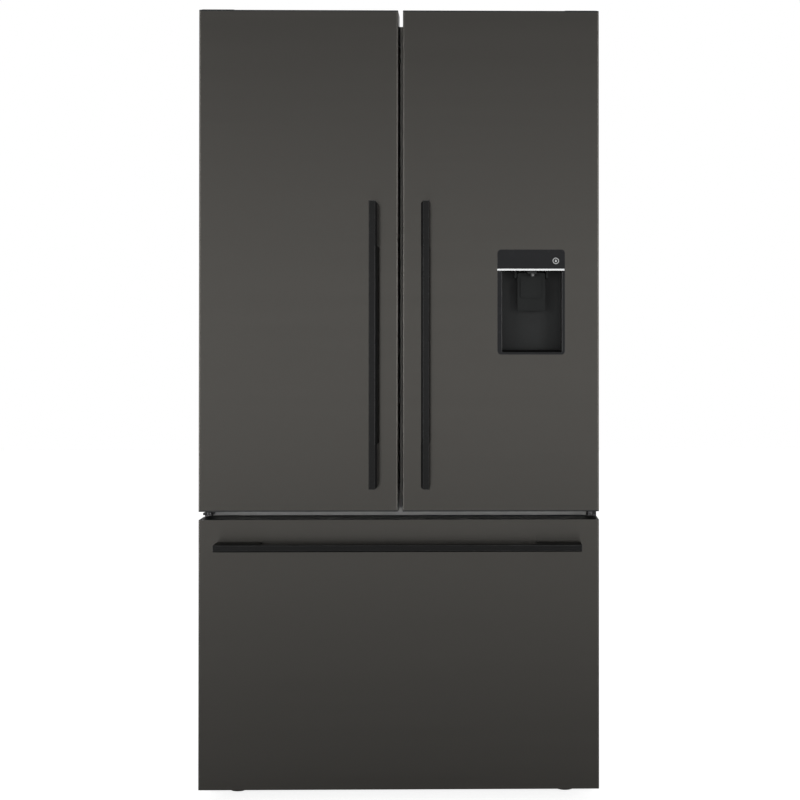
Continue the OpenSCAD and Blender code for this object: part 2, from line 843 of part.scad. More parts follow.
// Upright handle: a bevelled bar on a solid post at each end, drawn left of x = 0
module upright_handle() {
    x1 = -handle_x;
    x0 = x1 - handle_w;
    bevel = 4.5;
    bar_back = handle_y + handle_t;
    gap_z = [handle_low + post_l, handle_high - post_l];
    color("#2b2d2f") difference() {
        translate([0, 0, handle_low]) linear_extrude(handle_high - handle_low) polygon([
            [x0, front_y], [x0, handle_y + 1], [x0 + 1, handle_y], [x1 - bevel, handle_y],
            [x1, handle_y + bevel], [x1, front_y],
        ]);
        // finger gap behind the bar
        translate([x0 - eps, bar_back, 0])
            rotate([90, 0, 90]) linear_extrude(handle_w + 2 * eps)
                rounded([0, front_y - bar_back + 10], gap_z, 8);
        // the bevel is cut back along the gap
        span([x1 - bevel, x1 + eps], [handle_y - eps, bar_back - 4], gap_z);
        // the inner corners are cut off at both ends
        for (z = [handle_low, handle_high]) {
            translate([0, front_y + eps, 0]) rotate([90, 0, 0])
                linear_extrude(handle_out + 2 * eps)
                    polygon([[x1 - 5, z], [x1, z - 5], [x1 + 5, z], [x1, z + 5]]);
        }
    }
}

module drawer_handle() {
    z = [577, 577 + handle_w - 3];
    bar_back = handle_y + handle_t;
    gap_half = handle_half - post_l;
    color("#2b2d2f") difference() {
        rotate([90, 0, 90]) translate([0, 0, -handle_half]) linear_extrude(2 * handle_half) polygon([
            [front_y, z[0]], [handle_y + 3, z[0]], [handle_y, z[0] + 3],
            [handle_y, z[1] - 0.8], [handle_y + 0.8, z[1]], [front_y, z[1]],
        ]);
        translate([0, 0, z[0] - eps]) linear_extrude(z[1] - z[0] + 2 * eps)
            rounded([-gap_half, gap_half], [bar_back, front_y + 10], 8);
    }
}

module door_bins() {
    color("#dfe9ee", 0.55) for (z = bin_levels) difference() {
        tub([outer_dyke[1] + 1, inner_dyke[0] - 1], [door_back_y + 0.5, bin_back_y],
            [z, z + bin_h], tub_t, 8);
        // the side by the door is lower
        span([-365, -90], [door_back_y - 1, door_back_y + 10], [z + 70, z + bin_h + 1]);
    }
}

module mullion_flap() {
    thick = 14;
    color("#595c5e") {
        // stored folded back into the cabinet, square to the door
        difference() {
            upright([flap_x - thick / 2, flap_x + thick / 2], [flap_y, flap_y + flap_l],
                [flap_low, flap_high], 3);
            // the pivot groove along the back
            span([flap_x - 2, flap_x + 2], [flap_y + flap_l - 4, flap_y + flap_l + 1],
                [flap_low + 40, flap_high - 40]);
        }
        bar_z([flap_x, flap_y, flap_low], thick / 2 - 0.3, flap_high - flap_low);
        bar_z([flap_x, flap_y, flap_low - 8], 3, flap_high - flap_low + 15);
    }
}

// ---- Right door ----

module right_door_skin() {
    color("#46474a") difference() {
        door_skin(right_x, sheet_z);
        front_plate([disp_x[0] + 3, disp_x[1] - 3], [front_y - 5, front_y + 5],
            [disp_z[0] + 3, disp_z[1] - 3], 6);
    }
}

module right_door_core() {
    x = right_x;
    z = [door_bottom + cap_h, door_top - cap_h];
    y = [front_y, core_back_y];
    px = [disp_x[0] + 2, disp_x[1] - 2];
    pz = [disp_z[0] + 2, disp_z[1] - 2];
    color("#d9c27a") {
        door_cap(x, [z[0], pz[0] - seam]);
        door_cap(x, [pz[1] + seam, z[1]]);
        intersection() {
            door_cap(x, pz);
            union() {
                span([x[0], px[0] - seam], y, pz);
                span([px[1] + seam, x[1]], y, pz);
            }
        }
        span(px, [recess_back_y + 2.1, core_back_y], pz);
        mirror([1, 0, 0]) for (d = [outer_dyke, inner_dyke]) difference() {
            dyke(d, liner_t);
            span([-460, 0], [door_back_y - 20, door_back_y + seam], [900, 1750]);
        }
    }
}

module dispenser_housing() {
    wall = 2;
    x = [disp_x[0] + 3, disp_x[1] - 3];
    z = [disp_z[0] + 3, disp_z[1] - 3];
    color("#303234") {
        difference() {
            front_plate(x, [front_y + 2, recess_back_y + wall], z, 5);
            front_plate(recess_x, [front_y - eps, recess_back_y], recess_z, 4);
            // hollow for the controls, and a well for the button
            bar_y([button_pos[0], front_y + 1, button_pos[1]], button_r + 0.6, 8);
            // drip slots in the sill
            for (i = [0 : 12]) {
                span([recess_x[0] + 10 + i * 9, recess_x[0] + 14 + i * 9],
                    [front_y + 8, recess_back_y - 8], [recess_z[0] - 2.5, recess_z[0] + 1]);
            }
        }
        // ears that carry the paddle's pins
        for (ex = [[paddle_x[0] - 7, paddle_x[0] - 2], [paddle_x[1] + 2, paddle_x[1] + 7]]) {
            difference() {
                span(ex, [paddle_y - 8, recess_back_y + 1], [paddle_z - 8, recess_z[1] + 1]);
                bar_x([ex[0] - 1, paddle_y, paddle_z], 3.3, 7);
            }
        }
        // spout block above the nozzle
        span([nozzle_x - 11, nozzle_x + 8], [front_y + 6, front_y + 22],
            [recess_z[1] - 6, recess_z[1] + 1]);
    }
}

module dispenser_fascia() {
    y = [front_y - 2, front_y + 2];
    color("#37393b") difference() {
        front_plate(disp_x, y, disp_z, 8);
        front_plate(recess_x, [y[0] - 1, y[1] + 1], recess_z, 4);
        span([disp_x[0] - 1, disp_x[1] + 1], [y[0] - 1, front_y - 0.5], strip_z);
        bar_y([button_pos[0], y[0] - 1, button_pos[1]], button_r + 0.5, 8);
        // the frame sits over the edge of the opening in the door
        difference() {
            front_plate([disp_x[0] - 1, disp_x[1] + 1], [front_y, y[1] + 1],
                [disp_z[0] - 1, disp_z[1] + 1], 8);
            front_plate([disp_x[0] + 3.5, disp_x[1] - 3.5], [front_y - 1, y[1] + 2],
                [disp_z[0] + 3.5, disp_z[1] - 3.5], 5);
        }
    }
}

module dispenser_light() {
    color("#e9ebea") {
        span([disp_x[0] - 0.4, disp_x[1] - 1], [front_y - 3.5, front_y - 0.5],
            [strip_z[0] + 0.1, strip_z[1] - 0.1]);
        bar_z([nozzle_x, front_y + 14, recess_z[1] - 12], 4, 5.9);
    }
}

module dispenser_paddle() {
    y = [paddle_y - 3, paddle_y + 3];
    bottom = recess_z[0] + 94.5;
    color("#3c3e41") {
        front_plate(paddle_x, y, [bottom, paddle_z + 4], 4.5);
        front_plate([paddle_x[0] + 7, paddle_x[1] - 9], [y[0] - 3, y[0] + 1],
            [bottom + 29, paddle_z - 3], 4.5);
        bar_x([paddle_x[0] - 6.5, paddle_y, paddle_z], 3, paddle_x[1] - paddle_x[0] + 13);
    }
}

module dispenser_button() {
    p = button_pos;
    color("#4a4c4e") difference() {
        bar_y([p[0], front_y - 3, p[1]], button_r, 6);
        // the ring groove in its face
        difference() {
            bar_y([p[0], front_y - 4, p[1]], button_r - 1.6, 1.6);
            bar_y([p[0], front_y - 5, p[1]], button_r - 2.8, 4);
        }
    }
}

// ---- Freezer drawer ----

drawer_x = [-half_w, half_w];
drawer_z = [drawer_bottom, drawer_top];

module drawer_caps() {
    color("#2c2e30") {
        door_cap(drawer_x, [drawer_bottom, drawer_bottom + 20]);
        door_cap(drawer_x, [drawer_top - 20, drawer_top]);
    }
}

module drawer_basket() {
    x = [-freezer_x + 28, freezer_x - 28];
    y = [door_back_y + 13, 112];
    z = [110, 393];
    color("#e6eaec") difference() {
        union() {
            tub(x, y, z, tub_t, 14);
            both_sides() span([x[1] - 4, freezer_x - 14.6], [y[0] + 20, y[1] - 10],
                [rail_z[1] - 7.5, rail_z[1] - 4.5]);
        }
        for (i = [-8 : 8]) {
            front_plate([i * 38 - 12, i * 38 + 12], [y[0] - 5, y[0] + 8], [180, 330], 6);
        }
    }
}

// Inner members of the slides, with the brackets that carry the drawer front
module drawer_arms() {
    color("#b9bcbe") both_sides() {
        span([freezer_x - 18, freezer_x - 8], [door_back_y + 1, 190], [rail_z[0] + 8, rail_z[1] - 8]);
        span([freezer_x - 18, freezer_x - 14.5], [door_back_y + 1, -150], [290, rail_z[1] - 8]);
        span([freezer_x - 27, freezer_x - 8], [door_back_y, door_back_y + 3], [290, rail_z[1] - 8]);
    }
}

module drawer_liner() {
    color("#eceeee") front_plate([-half_w + 4, half_w - 4], [core_back_y, door_back_y],
        [drawer_bottom + 4, drawer_top - 4], 8);
    drawer_arms();
}

cabinet_shell();
rear_panels();
insulation();
fridge_liner();
freezer_liner();
front_rails();
base_frame();
compressor();
coils();
fan_shroud();
water_valve();
cord_gland();
door_hinges();
hinge_covers();
shelf_supports();
shelf_glass();
shelf_trim();
duct_covers();
lights();
ice_maker();
freezer_rails();
condenser_fan();
slide_shelf();
crisper([-392, post_x[0] - 2]);  // crisper_left
crisper([post_x[1] + 2, 392]);  // crisper_right
water_filter();
ice_arm();
ice_bin();
upper_drawer();
foot(-380);  // foot_left
foot(380);  // foot_right
rear_rollers();
color("#46474a") door_skin(left_x, sheet_z);  // left_door_skin
left_door_core();
left_door_liner();
upper_gasket();  // left_door_gasket
door_caps(left_x);  // left_door_caps
translate([meet_x, 0, 0]) upright_handle();  // left_handle
door_bins();  // left_door_bins
mullion_flap();
right_door_skin();
right_door_core();
color("#f2f3f2") mirror([1, 0, 0]) {  // right_door_liner
    inner_panel(right_mirrored[1]);
}
mirror([1, 0, 0]) upper_gasket();  // right_door_gasket
mirror([1, 0, 0]) door_caps(right_mirrored);  // right_door_caps
translate([meet_x, 0, 0]) mirror([1, 0, 0]) {  // right_handle
    upright_handle();
}
mirror([1, 0, 0]) door_bins();  // right_door_bins
dispenser_housing();
dispenser_fascia();
dispenser_light();
dispenser_paddle();
dispenser_button();
color("#46474a") door_skin(drawer_x, drawer_z);  // drawer_skin
color("#d9c27a") {  // drawer_core
    door_cap(drawer_x, [drawer_bottom + 20, drawer_top - 20]);
}
drawer_liner();
color("#6d6f70") gasket([-430, 430], [62, 640]);  // drawer_gasket
drawer_caps();
drawer_handle();
drawer_basket();
drawer_rails();
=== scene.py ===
# %% [markdown]
# # A french door refrigerator, finished in Blender
# The refrigerator arrives as a set of exact solids, each riding on the body that moves it.
# This lesson gives those solids their finishes, adds the small repeated pieces that a drawing
# leaves out, and sets up the studio. Nothing here moves or resizes the solids themselves.

# %% Load the frame
import json
import math

import bmesh
import bpy
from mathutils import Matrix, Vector


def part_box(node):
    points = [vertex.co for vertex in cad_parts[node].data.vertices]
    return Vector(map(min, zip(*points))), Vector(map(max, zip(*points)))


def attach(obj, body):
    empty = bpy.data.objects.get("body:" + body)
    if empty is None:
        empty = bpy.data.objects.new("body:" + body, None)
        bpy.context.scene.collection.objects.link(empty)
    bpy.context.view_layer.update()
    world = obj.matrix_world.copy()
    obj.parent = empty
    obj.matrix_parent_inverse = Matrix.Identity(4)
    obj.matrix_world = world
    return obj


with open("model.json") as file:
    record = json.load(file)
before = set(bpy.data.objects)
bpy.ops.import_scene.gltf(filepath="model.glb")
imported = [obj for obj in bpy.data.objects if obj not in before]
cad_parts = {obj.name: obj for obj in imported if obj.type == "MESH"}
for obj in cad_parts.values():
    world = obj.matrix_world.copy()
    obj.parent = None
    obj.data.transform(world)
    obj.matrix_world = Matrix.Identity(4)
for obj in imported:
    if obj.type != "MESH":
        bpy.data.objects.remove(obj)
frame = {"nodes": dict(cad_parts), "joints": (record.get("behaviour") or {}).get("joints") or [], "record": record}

nodes, joints = frame["nodes"], frame["joints"]
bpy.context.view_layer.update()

# %% [markdown]
# ## Camera
# A refrigerator's catalogue picture is taken from a few metres away with a portrait lens, so that
# the upright edges stay nearly parallel. The camera stands a little above the middle of the
# refrigerator and a little to its right, looking straight at the doors, and a small lens shift
# brings the refrigerator back to the middle of the frame without tilting its edges.

# %% Camera
CAMERA_PLACE = (0.1748, -3.6415, 1.0317)
CAMERA_YAW = 0.85
CAMERA_PITCH = 0.385
CAMERA_LENS = 66.4
CAMERA_SENSOR = 36
CAMERA_SHIFT = (-0.1235, -0.0793)

camera_data = bpy.data.cameras.new("camera")
camera = bpy.data.objects.new("camera", camera_data)
bpy.context.collection.objects.link(camera)
camera_data.lens = CAMERA_LENS
camera_data.sensor_width = CAMERA_SENSOR
camera_data.shift_x, camera_data.shift_y = CAMERA_SHIFT
camera.location = CAMERA_PLACE
camera.rotation_euler = (math.radians(90 + CAMERA_PITCH), 0, math.radians(-CAMERA_YAW))
bpy.context.scene.camera = camera
bpy.context.scene.view_settings.view_transform = "Standard"
print("camera", CAMERA_LENS, "mm at", CAMERA_PLACE)

# %% [markdown]
# ## Studio
# Dark brushed steel shows little of its own colour: what is seen in it is the room. A plain even
# sky would make the doors look like flat card, so the sky that the steel sees is graded: bright
# round the horizon, dark just above it, and dimmer straight up and straight down. The camera
# itself sees plain white, which a Light Path node keeps apart from what lights the steel.

# %% Sky
def new_nodes(tree):
    """Empties a tree and gives the calls that add a node and link two sockets."""
    tree.nodes.clear()
    return tree.nodes.new, tree.links.new


world = bpy.data.worlds.new("studio")
bpy.context.scene.world = world
world.use_nodes = True
add, link = new_nodes(world.node_tree)
sky_out = add("ShaderNodeOutputWorld")
path = add("ShaderNodeLightPath")
mix = add("ShaderNodeMixShader")
seen, lit = add("ShaderNodeBackground"), add("ShaderNodeBackground")
seen.inputs["Color"].default_value = (1, 1, 1, 1)
seen.inputs["Strength"].default_value = 1.0
where, split, grade = (
    add("ShaderNodeTexCoord"), add("ShaderNodeSeparateXYZ"), add("ShaderNodeValToRGB"),
)
link(where.outputs["Generated"], split.inputs[0])
from_ground_up = add("ShaderNodeMath")  # -1 straight down to 1 straight up becomes 0 to 1
from_ground_up.operation = "MULTIPLY_ADD"
from_ground_up.inputs[1].default_value = 0.5
from_ground_up.inputs[2].default_value = 0.5
link(split.outputs["Z"], from_ground_up.inputs[0])
link(from_ground_up.outputs[0], grade.inputs["Fac"])
SKY_STOPS = [(0.0, 0.40), (0.44, 1.0), (0.53, 1.02), (0.57, 0.50), (0.64, 0.12), (1.0, 0.36)]
SKY_BLUENESS = 1.01
ramp = grade.color_ramp.elements
while len(ramp) < len(SKY_STOPS):
    ramp.new(0.5)
for stop, (at, level) in zip(ramp, SKY_STOPS):
    stop.position = at
    stop.color = (level, level, level * SKY_BLUENESS, 1)
link(grade.outputs["Color"], lit.inputs["Color"])
lit.inputs["Strength"].default_value = 1.0
link(path.outputs["Is Camera Ray"], mix.inputs["Fac"])
link(lit.outputs[0], mix.inputs[1])
link(seen.outputs[0], mix.inputs[2])
link(mix.outputs[0], sky_out.inputs["Surface"])
print("sky stops", len(SKY_STOPS))

# %% [markdown]
# The floor is one large square, wide enough that its far edge never shows.

# %% Floor
FLOOR_LEFT, FLOOR_RIGHT, FLOOR_NEAR, FLOOR_FAR = -9, 9, -7, 11

floor_mesh = bpy.data.meshes.new("floor")
floor_mesh.from_pydata([(FLOOR_LEFT, FLOOR_NEAR, 0), (FLOOR_RIGHT, FLOOR_NEAR, 0),
                        (FLOOR_RIGHT, FLOOR_FAR, 0), (FLOOR_LEFT, FLOOR_FAR, 0)],
                       [], [(0, 1, 2, 3)])
floor = bpy.data.objects.new("floor", floor_mesh)
bpy.context.collection.objects.link(floor)
print("floor", FLOOR_RIGHT - FLOOR_LEFT, "by", FLOOR_FAR - FLOOR_NEAR, "m")

# %% [markdown]
# Two tall soft boxes stand left and right behind the camera, and a wide one hangs above. Tall
# boxes give the upright door edges an even light from end to end. The top box lights the handles
# and the top, and is hidden from reflections, so that no bright band lies across the doors.

# %% Soft boxes
def soft_box(name, place, aim, size, power):
    """A rectangular area light at place, turned to face aim."""
    data = bpy.data.lights.new(name, "AREA")
    data.shape = "RECTANGLE"
    data.size, data.size_y = size
    data.energy = power
    box = bpy.data.objects.new(name, data)
    bpy.context.collection.objects.link(box)
    box.location = place
    box.rotation_euler = (Vector(aim) - Vector(place)).to_track_quat("-Z", "Y").to_euler()
    return box


DOOR_MIDDLE = (0, -0.3, 1.0)
TALL_BOX = (1.4, 2.6)
soft_box("left box", (-2.9, -4.4, 1.4), DOOR_MIDDLE, TALL_BOX, 62)
soft_box("right box", (3.1, -4.2, 1.4), DOOR_MIDDLE, TALL_BOX, 70)
top_box = soft_box("top box", (0, -3.6, 4.4), (0, 0, 0.8), (3.2, 1.6), 40)
top_box.visible_glossy = False
print("soft boxes", len(bpy.data.lights))

# %% [markdown]
# ## Shared shader groups
# Several finishes share an effect. Each effect is a node group with its own sockets, placed in
# every material that needs it with that material's values: a mask for rubbed edges, which on the
# handles lays a painted highlight, a grain for brushed steel, an even mottle for paint and
# plastic, and the fine pebble of moulded parts.
# The groups give out only masks, values and heights; the shaders stay in the materials.

# %% Group helpers
def new_group(name, inputs, outputs):
    """An empty shader group with float inputs {name: default} and float outputs [name]."""
    tree = bpy.data.node_groups.new(name, "ShaderNodeTree")
    for label, value in inputs.items():
        socket = tree.interface.new_socket(label, in_out="INPUT", socket_type="NodeSocketFloat")
        socket.default_value = value
    for label in outputs:
        tree.interface.new_socket(label, in_out="OUTPUT", socket_type="NodeSocketFloat")
    return tree, tree.nodes.new("NodeGroupInput"), tree.nodes.new("NodeGroupOutput")


def math_node(tree, operation, a, b=None, clamp=False):
    """A math node, in a shader or geometry tree, whose inputs are sockets or plain numbers."""
    node = tree.nodes.new("ShaderNodeMath")
    node.operation = operation
    node.use_clamp = clamp
    for slot, value in zip(node.inputs, (a, b)):
        if value is None:
            continue
        if isinstance(value, (int, float)):
            slot.default_value = value
        else:
            tree.links.new(value, slot)
    return node.outputs[0]


def stretched_noise(tree, scale, stretch, detail=3.0, rough=0.55):
    """Noise on Object coordinates, scaled along each axis by stretch times a scale socket."""
    coords = tree.nodes.new("ShaderNodeTexCoord")
    mapping = tree.nodes.new("ShaderNodeMapping")
    mapping.inputs["Scale"].default_value = stretch
    noise = tree.nodes.new("ShaderNodeTexNoise")
    noise.inputs["Detail"].default_value = detail
    noise.inputs["Roughness"].default_value = rough
    tree.links.new(coords.outputs["Object"], mapping.inputs["Vector"])
    tree.links.new(mapping.outputs["Vector"], noise.inputs["Vector"])
    if isinstance(scale, (int, float)):
        noise.inputs["Scale"].default_value = scale
    else:
        tree.links.new(scale, noise.inputs["Scale"])
    return noise.outputs["Fac"]


# %% [markdown]
# ### Edge wear and painted highlight
# Paint and plating rub thin along corners, and on the dark handles the same lighter edge is a
# painted highlight. A Bevel node gives the normal that a slightly rounded corner would have;
# where that turns away from the real face there is an edge, and a coarse noise breaks the
# lighter line up into patches.

# %% Edge wear and painted highlight
BEVEL_SAMPLES = 4
EDGE_GAIN = 9.0
PATCH_SCALE = 60.0

edge_wear_and_highlight, g_in, g_out = new_group("edge wear", {"Width": 0.0012, "Amount": 1.0}, ["Mask"])
rounded = edge_wear_and_highlight.nodes.new("ShaderNodeBevel")
rounded.samples = BEVEL_SAMPLES
edge_wear_and_highlight.links.new(g_in.outputs["Width"], rounded.inputs["Radius"])
flat = edge_wear_and_highlight.nodes.new("ShaderNodeNewGeometry")
facing = edge_wear_and_highlight.nodes.new("ShaderNodeVectorMath")
facing.operation = "DOT_PRODUCT"
edge_wear_and_highlight.links.new(rounded.outputs[0], facing.inputs[0])
edge_wear_and_highlight.links.new(flat.outputs["Normal"], facing.inputs[1])
bend = math_node(edge_wear_and_highlight, "SUBTRACT", 1.0, facing.outputs["Value"])
patches = stretched_noise(edge_wear_and_highlight, PATCH_SCALE, (1, 1, 1))
worn_and_lit = math_node(edge_wear_and_highlight, "MULTIPLY", math_node(edge_wear_and_highlight, "MULTIPLY", bend, EDGE_GAIN), patches)
edge_wear_and_highlight.links.new(
    math_node(edge_wear_and_highlight, "MULTIPLY", worn_and_lit, g_in.outputs["Amount"], clamp=True),
    g_out.inputs["Mask"],
)
print("edge wear:", len(edge_wear_and_highlight.nodes), "nodes")

# %% [markdown]
# ### Brushed grain
# The doors are brushed from side to side. Noise squeezed hard across the doors and stretched
# along them draws the fine lines, and a broader streak underneath keeps them from looking
# printed. Painted parts get a soft even mottle instead, and moulded ones a fine pebble.

# %% Brushed grain, mottle and pebble
GRAIN_STRETCH, GRAIN_SHARE = (6, 900, 900), 0.6
STREAK_STRETCH, STREAK_SHARE = (1.2, 40, 40), 0.4
EVEN = (1, 1, 1)

brushed, g_in, g_out = new_group("brushed grain", {"Fineness": 1.0}, ["Height", "Tone"])
lines = stretched_noise(brushed, g_in.outputs["Fineness"], GRAIN_STRETCH, 4.0, 0.7)
broad = stretched_noise(brushed, 1.0, STREAK_STRETCH, 2.0)
brushed.links.new(lines, g_out.inputs["Height"])
brushed.links.new(
    math_node(brushed, "ADD", math_node(brushed, "MULTIPLY", lines, GRAIN_SHARE),
              math_node(brushed, "MULTIPLY", broad, STREAK_SHARE)),
    g_out.inputs["Tone"],
)

mottle, g_in, g_out = new_group("mottle", {"Scale": 9.0}, ["Value"])
mottle.links.new(stretched_noise(mottle, g_in.outputs["Scale"], EVEN, 5.0),
                 g_out.inputs["Value"])

pebble, g_in, g_out = new_group("pebble", {"Scale": 900.0}, ["Height"])
pebble.links.new(stretched_noise(pebble, g_in.outputs["Scale"], EVEN, 2.0),
                 g_out.inputs["Height"])
print("shader groups:", [g.name for g in bpy.data.node_groups])

# %% [markdown]
# ## Finishes
# One function builds an opaque finish: a base colour that the mottle or the grain shifts a
# little, a roughness that follows the same pattern, a fine relief through a Bump node, and a
# lighter colour along the edges, for rubbed edges and, on the handles, a painted highlight.
# Numbers that are the same all over are set on the shader's own sockets.

# %% Finish helpers
NOISE_SPREAD = (0.3, 0.7)  # noise seldom leaves this range, so it is stretched from here


def place(tree, group, **values):
    """A shared group in a material, with this material's values on its sockets."""
    node = tree.nodes.new("ShaderNodeGroup")
    node.node_tree = group
    for label, value in values.items():
        node.inputs[label].default_value = value
    return node


def remap(tree, value, low, high):
    """A noise value stretched to run from low to high."""
    node = tree.nodes.new("ShaderNodeMapRange")
    node.inputs["From Min"].default_value = NOISE_SPREAD[0]
    node.inputs["From Max"].default_value = NOISE_SPREAD[1]
    node.inputs["To Min"].default_value = low
    node.inputs["To Max"].default_value = high
    tree.links.new(value, node.inputs["Value"])
    return node.outputs["Result"]


# %% The opaque finish
PEBBLES_PER_MOTTLE = 60
GLOSS_SPREAD = (0.9, 1.12)
HIGHLIGHT_STRETCH, QUARTER_TURN = 0.85, 0.25


def finish(name, colour, rough, metallic=0.0, vary=0.12, relief=("pebble", 900.0, 0.05, 0.0002),
           wear_and_highlight=None, specular=0.5, grain_along_x=False):
    """An opaque finish.

    relief is (kind, scale, strength, distance), and wear_and_highlight is (colour, width,
    amount): a lighter edge colour for rubbed edges, which on the handles is a painted highlight.
    """
    material = bpy.data.materials.new(name)
    material.use_nodes = True
    tree = material.node_tree
    shader = tree.nodes["Principled BSDF"]
    shader.inputs["Metallic"].default_value = metallic
    if grain_along_x:
        around = tree.nodes.new("ShaderNodeTangent")
        around.direction_type = "RADIAL"
        around.axis = "Z"
        tree.links.new(around.outputs[0], shader.inputs["Tangent"])
        shader.inputs["Anisotropic"].default_value = HIGHLIGHT_STRETCH
        shader.inputs["Anisotropic Rotation"].default_value = QUARTER_TURN
    shader.inputs["Specular IOR Level"].default_value = specular
    kind, scale, strength, distance = relief
    if kind == "brushed":
        grain = place(tree, brushed, Fineness=scale)
        pattern, height = grain.outputs["Tone"], grain.outputs["Height"]
    else:
        pattern = place(tree, mottle, Scale=scale / PEBBLES_PER_MOTTLE).outputs["Value"]
        height = place(tree, pebble, Scale=scale).outputs["Height"]
    blend = tree.nodes.new("ShaderNodeMix")
    blend.data_type = "RGBA"
    blend.inputs["A"].default_value = (*[c * (1 - vary) for c in colour], 1)
    blend.inputs["B"].default_value = (*[min(1, c * (1 + vary)) for c in colour], 1)
    tree.links.new(remap(tree, pattern, 0, 1), blend.inputs["Factor"])
    shade = blend.outputs["Result"]
    gloss = remap(tree, pattern, rough * GLOSS_SPREAD[0], min(1, rough * GLOSS_SPREAD[1]))
    if wear_and_highlight:
        edge_colour, width, amount = wear_and_highlight
        mask = place(tree, edge_wear_and_highlight, Width=width, Amount=amount).outputs["Mask"]
        edge_mix = tree.nodes.new("ShaderNodeMix")
        edge_mix.data_type = "RGBA"
        edge_mix.inputs["B"].default_value = (*edge_colour, 1)
        tree.links.new(shade, edge_mix.inputs["A"])
        tree.links.new(mask, edge_mix.inputs["Factor"])
        shade = edge_mix.outputs["Result"]
    tree.links.new(shade, shader.inputs["Base Color"])
    tree.links.new(gloss, shader.inputs["Roughness"])
    bump = tree.nodes.new("ShaderNodeBump")
    bump.inputs["Strength"].default_value = strength
    bump.inputs["Distance"].default_value = distance
    tree.links.new(height, bump.inputs["Height"])
    tree.links.new(bump.outputs[0], shader.inputs["Normal"])
    return material


print("finishes can be made from", [g.name for g in bpy.data.node_groups])

# %% [markdown]
# The floor's finish glows a little, so that it meets the white backdrop without a line. In the
# steel that glow would be too bright, so glossy rays see a plain duller floor in its place.

# %% The floor's finish
FLOOR_GLOW = 0.85
FLOOR_SEEN_IN_STEEL = 0.54

pale = finish("pale floor", (0.70, 0.70, 0.70), 0.6, vary=0.01,
              relief=("pebble", 300.0, 0.02, 0.0002))
pale_tree = pale.node_tree
pale_shader = pale_tree.nodes["Principled BSDF"]
pale_shader.inputs["Emission Color"].default_value = (1, 1, 1, 1)
pale_shader.inputs["Emission Strength"].default_value = FLOOR_GLOW
dim = pale_tree.nodes.new("ShaderNodeBsdfDiffuse")
dim.inputs["Color"].default_value = (*[FLOOR_SEEN_IN_STEEL] * 3, 1)
by_ray = pale_tree.nodes.new("ShaderNodeMixShader")
rays = pale_tree.nodes.new("ShaderNodeLightPath")
pale_tree.links.new(rays.outputs["Is Glossy Ray"], by_ray.inputs["Fac"])
pale_tree.links.new(pale_shader.outputs[0], by_ray.inputs[1])
pale_tree.links.new(dim.outputs[0], by_ray.inputs[2])
pale_tree.links.new(by_ray.outputs[0], pale_tree.nodes["Material Output"].inputs["Surface"])
floor_mesh.materials.append(pale)
print("floor finished")

# %% [markdown]
# ### Clear parts
# Door bins and crispers are clear plastic, and the shelves are glass. True refraction through so
# many thin walls is slow and noisy, so they are thin tinted coats: nearly see-through face on,
# and more solid at a glancing angle, where a Fresnel node adds its share.

# %% Clear plastic and glass
MARK_SCALE = 14.0
MARK_SPREAD = (0.8, 1.3)


def clear(name, colour, rough, see_through, ior=1.5):
    """A clear piece: see-through face on, shinier at a glance, with faint moulding marks."""
    material = bpy.data.materials.new(name)
    material.use_nodes = True
    tree = material.node_tree
    shader = tree.nodes["Principled BSDF"]
    shader.inputs["Base Color"].default_value = (*colour, 1)
    shader.inputs["IOR"].default_value = ior
    shader.inputs["Metallic"].default_value = 0
    marks = place(tree, mottle, Scale=MARK_SCALE).outputs["Value"]
    tree.links.new(remap(tree, marks, rough * MARK_SPREAD[0], rough * MARK_SPREAD[1]),
                   shader.inputs["Roughness"])
    rim = tree.nodes.new("ShaderNodeFresnel")
    rim.inputs["IOR"].default_value = ior
    body = math_node(tree, "ADD", rim.outputs[0], 1 - see_through, clamp=True)
    tree.links.new(body, shader.inputs["Alpha"])
    return material


print("clear coats use", mottle.name)

# %% [markdown]
# ### Steel and paint
# The doors and the drawer front are black stainless steel: a tinted coat on brushed metal, a
# little warm, with its highlights drawn out across the grain. The handles are darker. The
# cabinet is graphite paint, the rear panel and the chassis are plainer and duller.

# %% Steel and paint
STEEL_DARK = (0.119, 0.114, 0.104)
finishes = {
    "black_stainless": finish("black stainless", STEEL_DARK, 0.23, 1.0, 0.03,
                              ("brushed", 1.0, 0.16, 0.0002), ((0.15, 0.15, 0.14), 0.0008, 0.4),
                              grain_along_x=True),
    # The handles' edge colour, far lighter than their steel, is a painted highlight along their edges.
    "handle_steel": finish("dark handle steel", (0.0250, 0.0252, 0.0250), 0.26, 1.0, 0.08,
                           ("brushed", 1.0, 0.08, 0.0001), ((0.22, 0.22, 0.22), 0.0011, 0.9)),
    "cabinet_paint": finish("graphite cabinet paint", (0.045, 0.046, 0.049), 0.42, 0.0, 0.10,
                            ("pebble", 1400.0, 0.10, 0.0002), ((0.12, 0.12, 0.13), 0.0012, 0.5)),
    "rear_paint": finish("rear panel paint", (0.030, 0.031, 0.033), 0.55, 0.0, 0.14,
                         ("pebble", 900.0, 0.12, 0.0003), ((0.16, 0.16, 0.16), 0.0012, 0.7)),
    "frame_paint": finish("chassis paint", (0.018, 0.018, 0.020), 0.45, 0.0, 0.15,
                          ("pebble", 700.0, 0.15, 0.0003), ((0.20, 0.20, 0.21), 0.0015, 0.9)),
    "rail_paint": finish("pale rail paint", (0.46, 0.46, 0.45), 0.40, 0.0, 0.06,
                         ("pebble", 1200.0, 0.08, 0.0002)),
    "zinc_steel": finish("dark zinc-plated steel", (0.22, 0.22, 0.225), 0.30, 1.0, 0.10,
                         ("brushed", 0.7, 0.10, 0.0001), ((0.80, 0.80, 0.80), 0.0010, 0.5)),
}
print("steel and paint:", len(finishes))
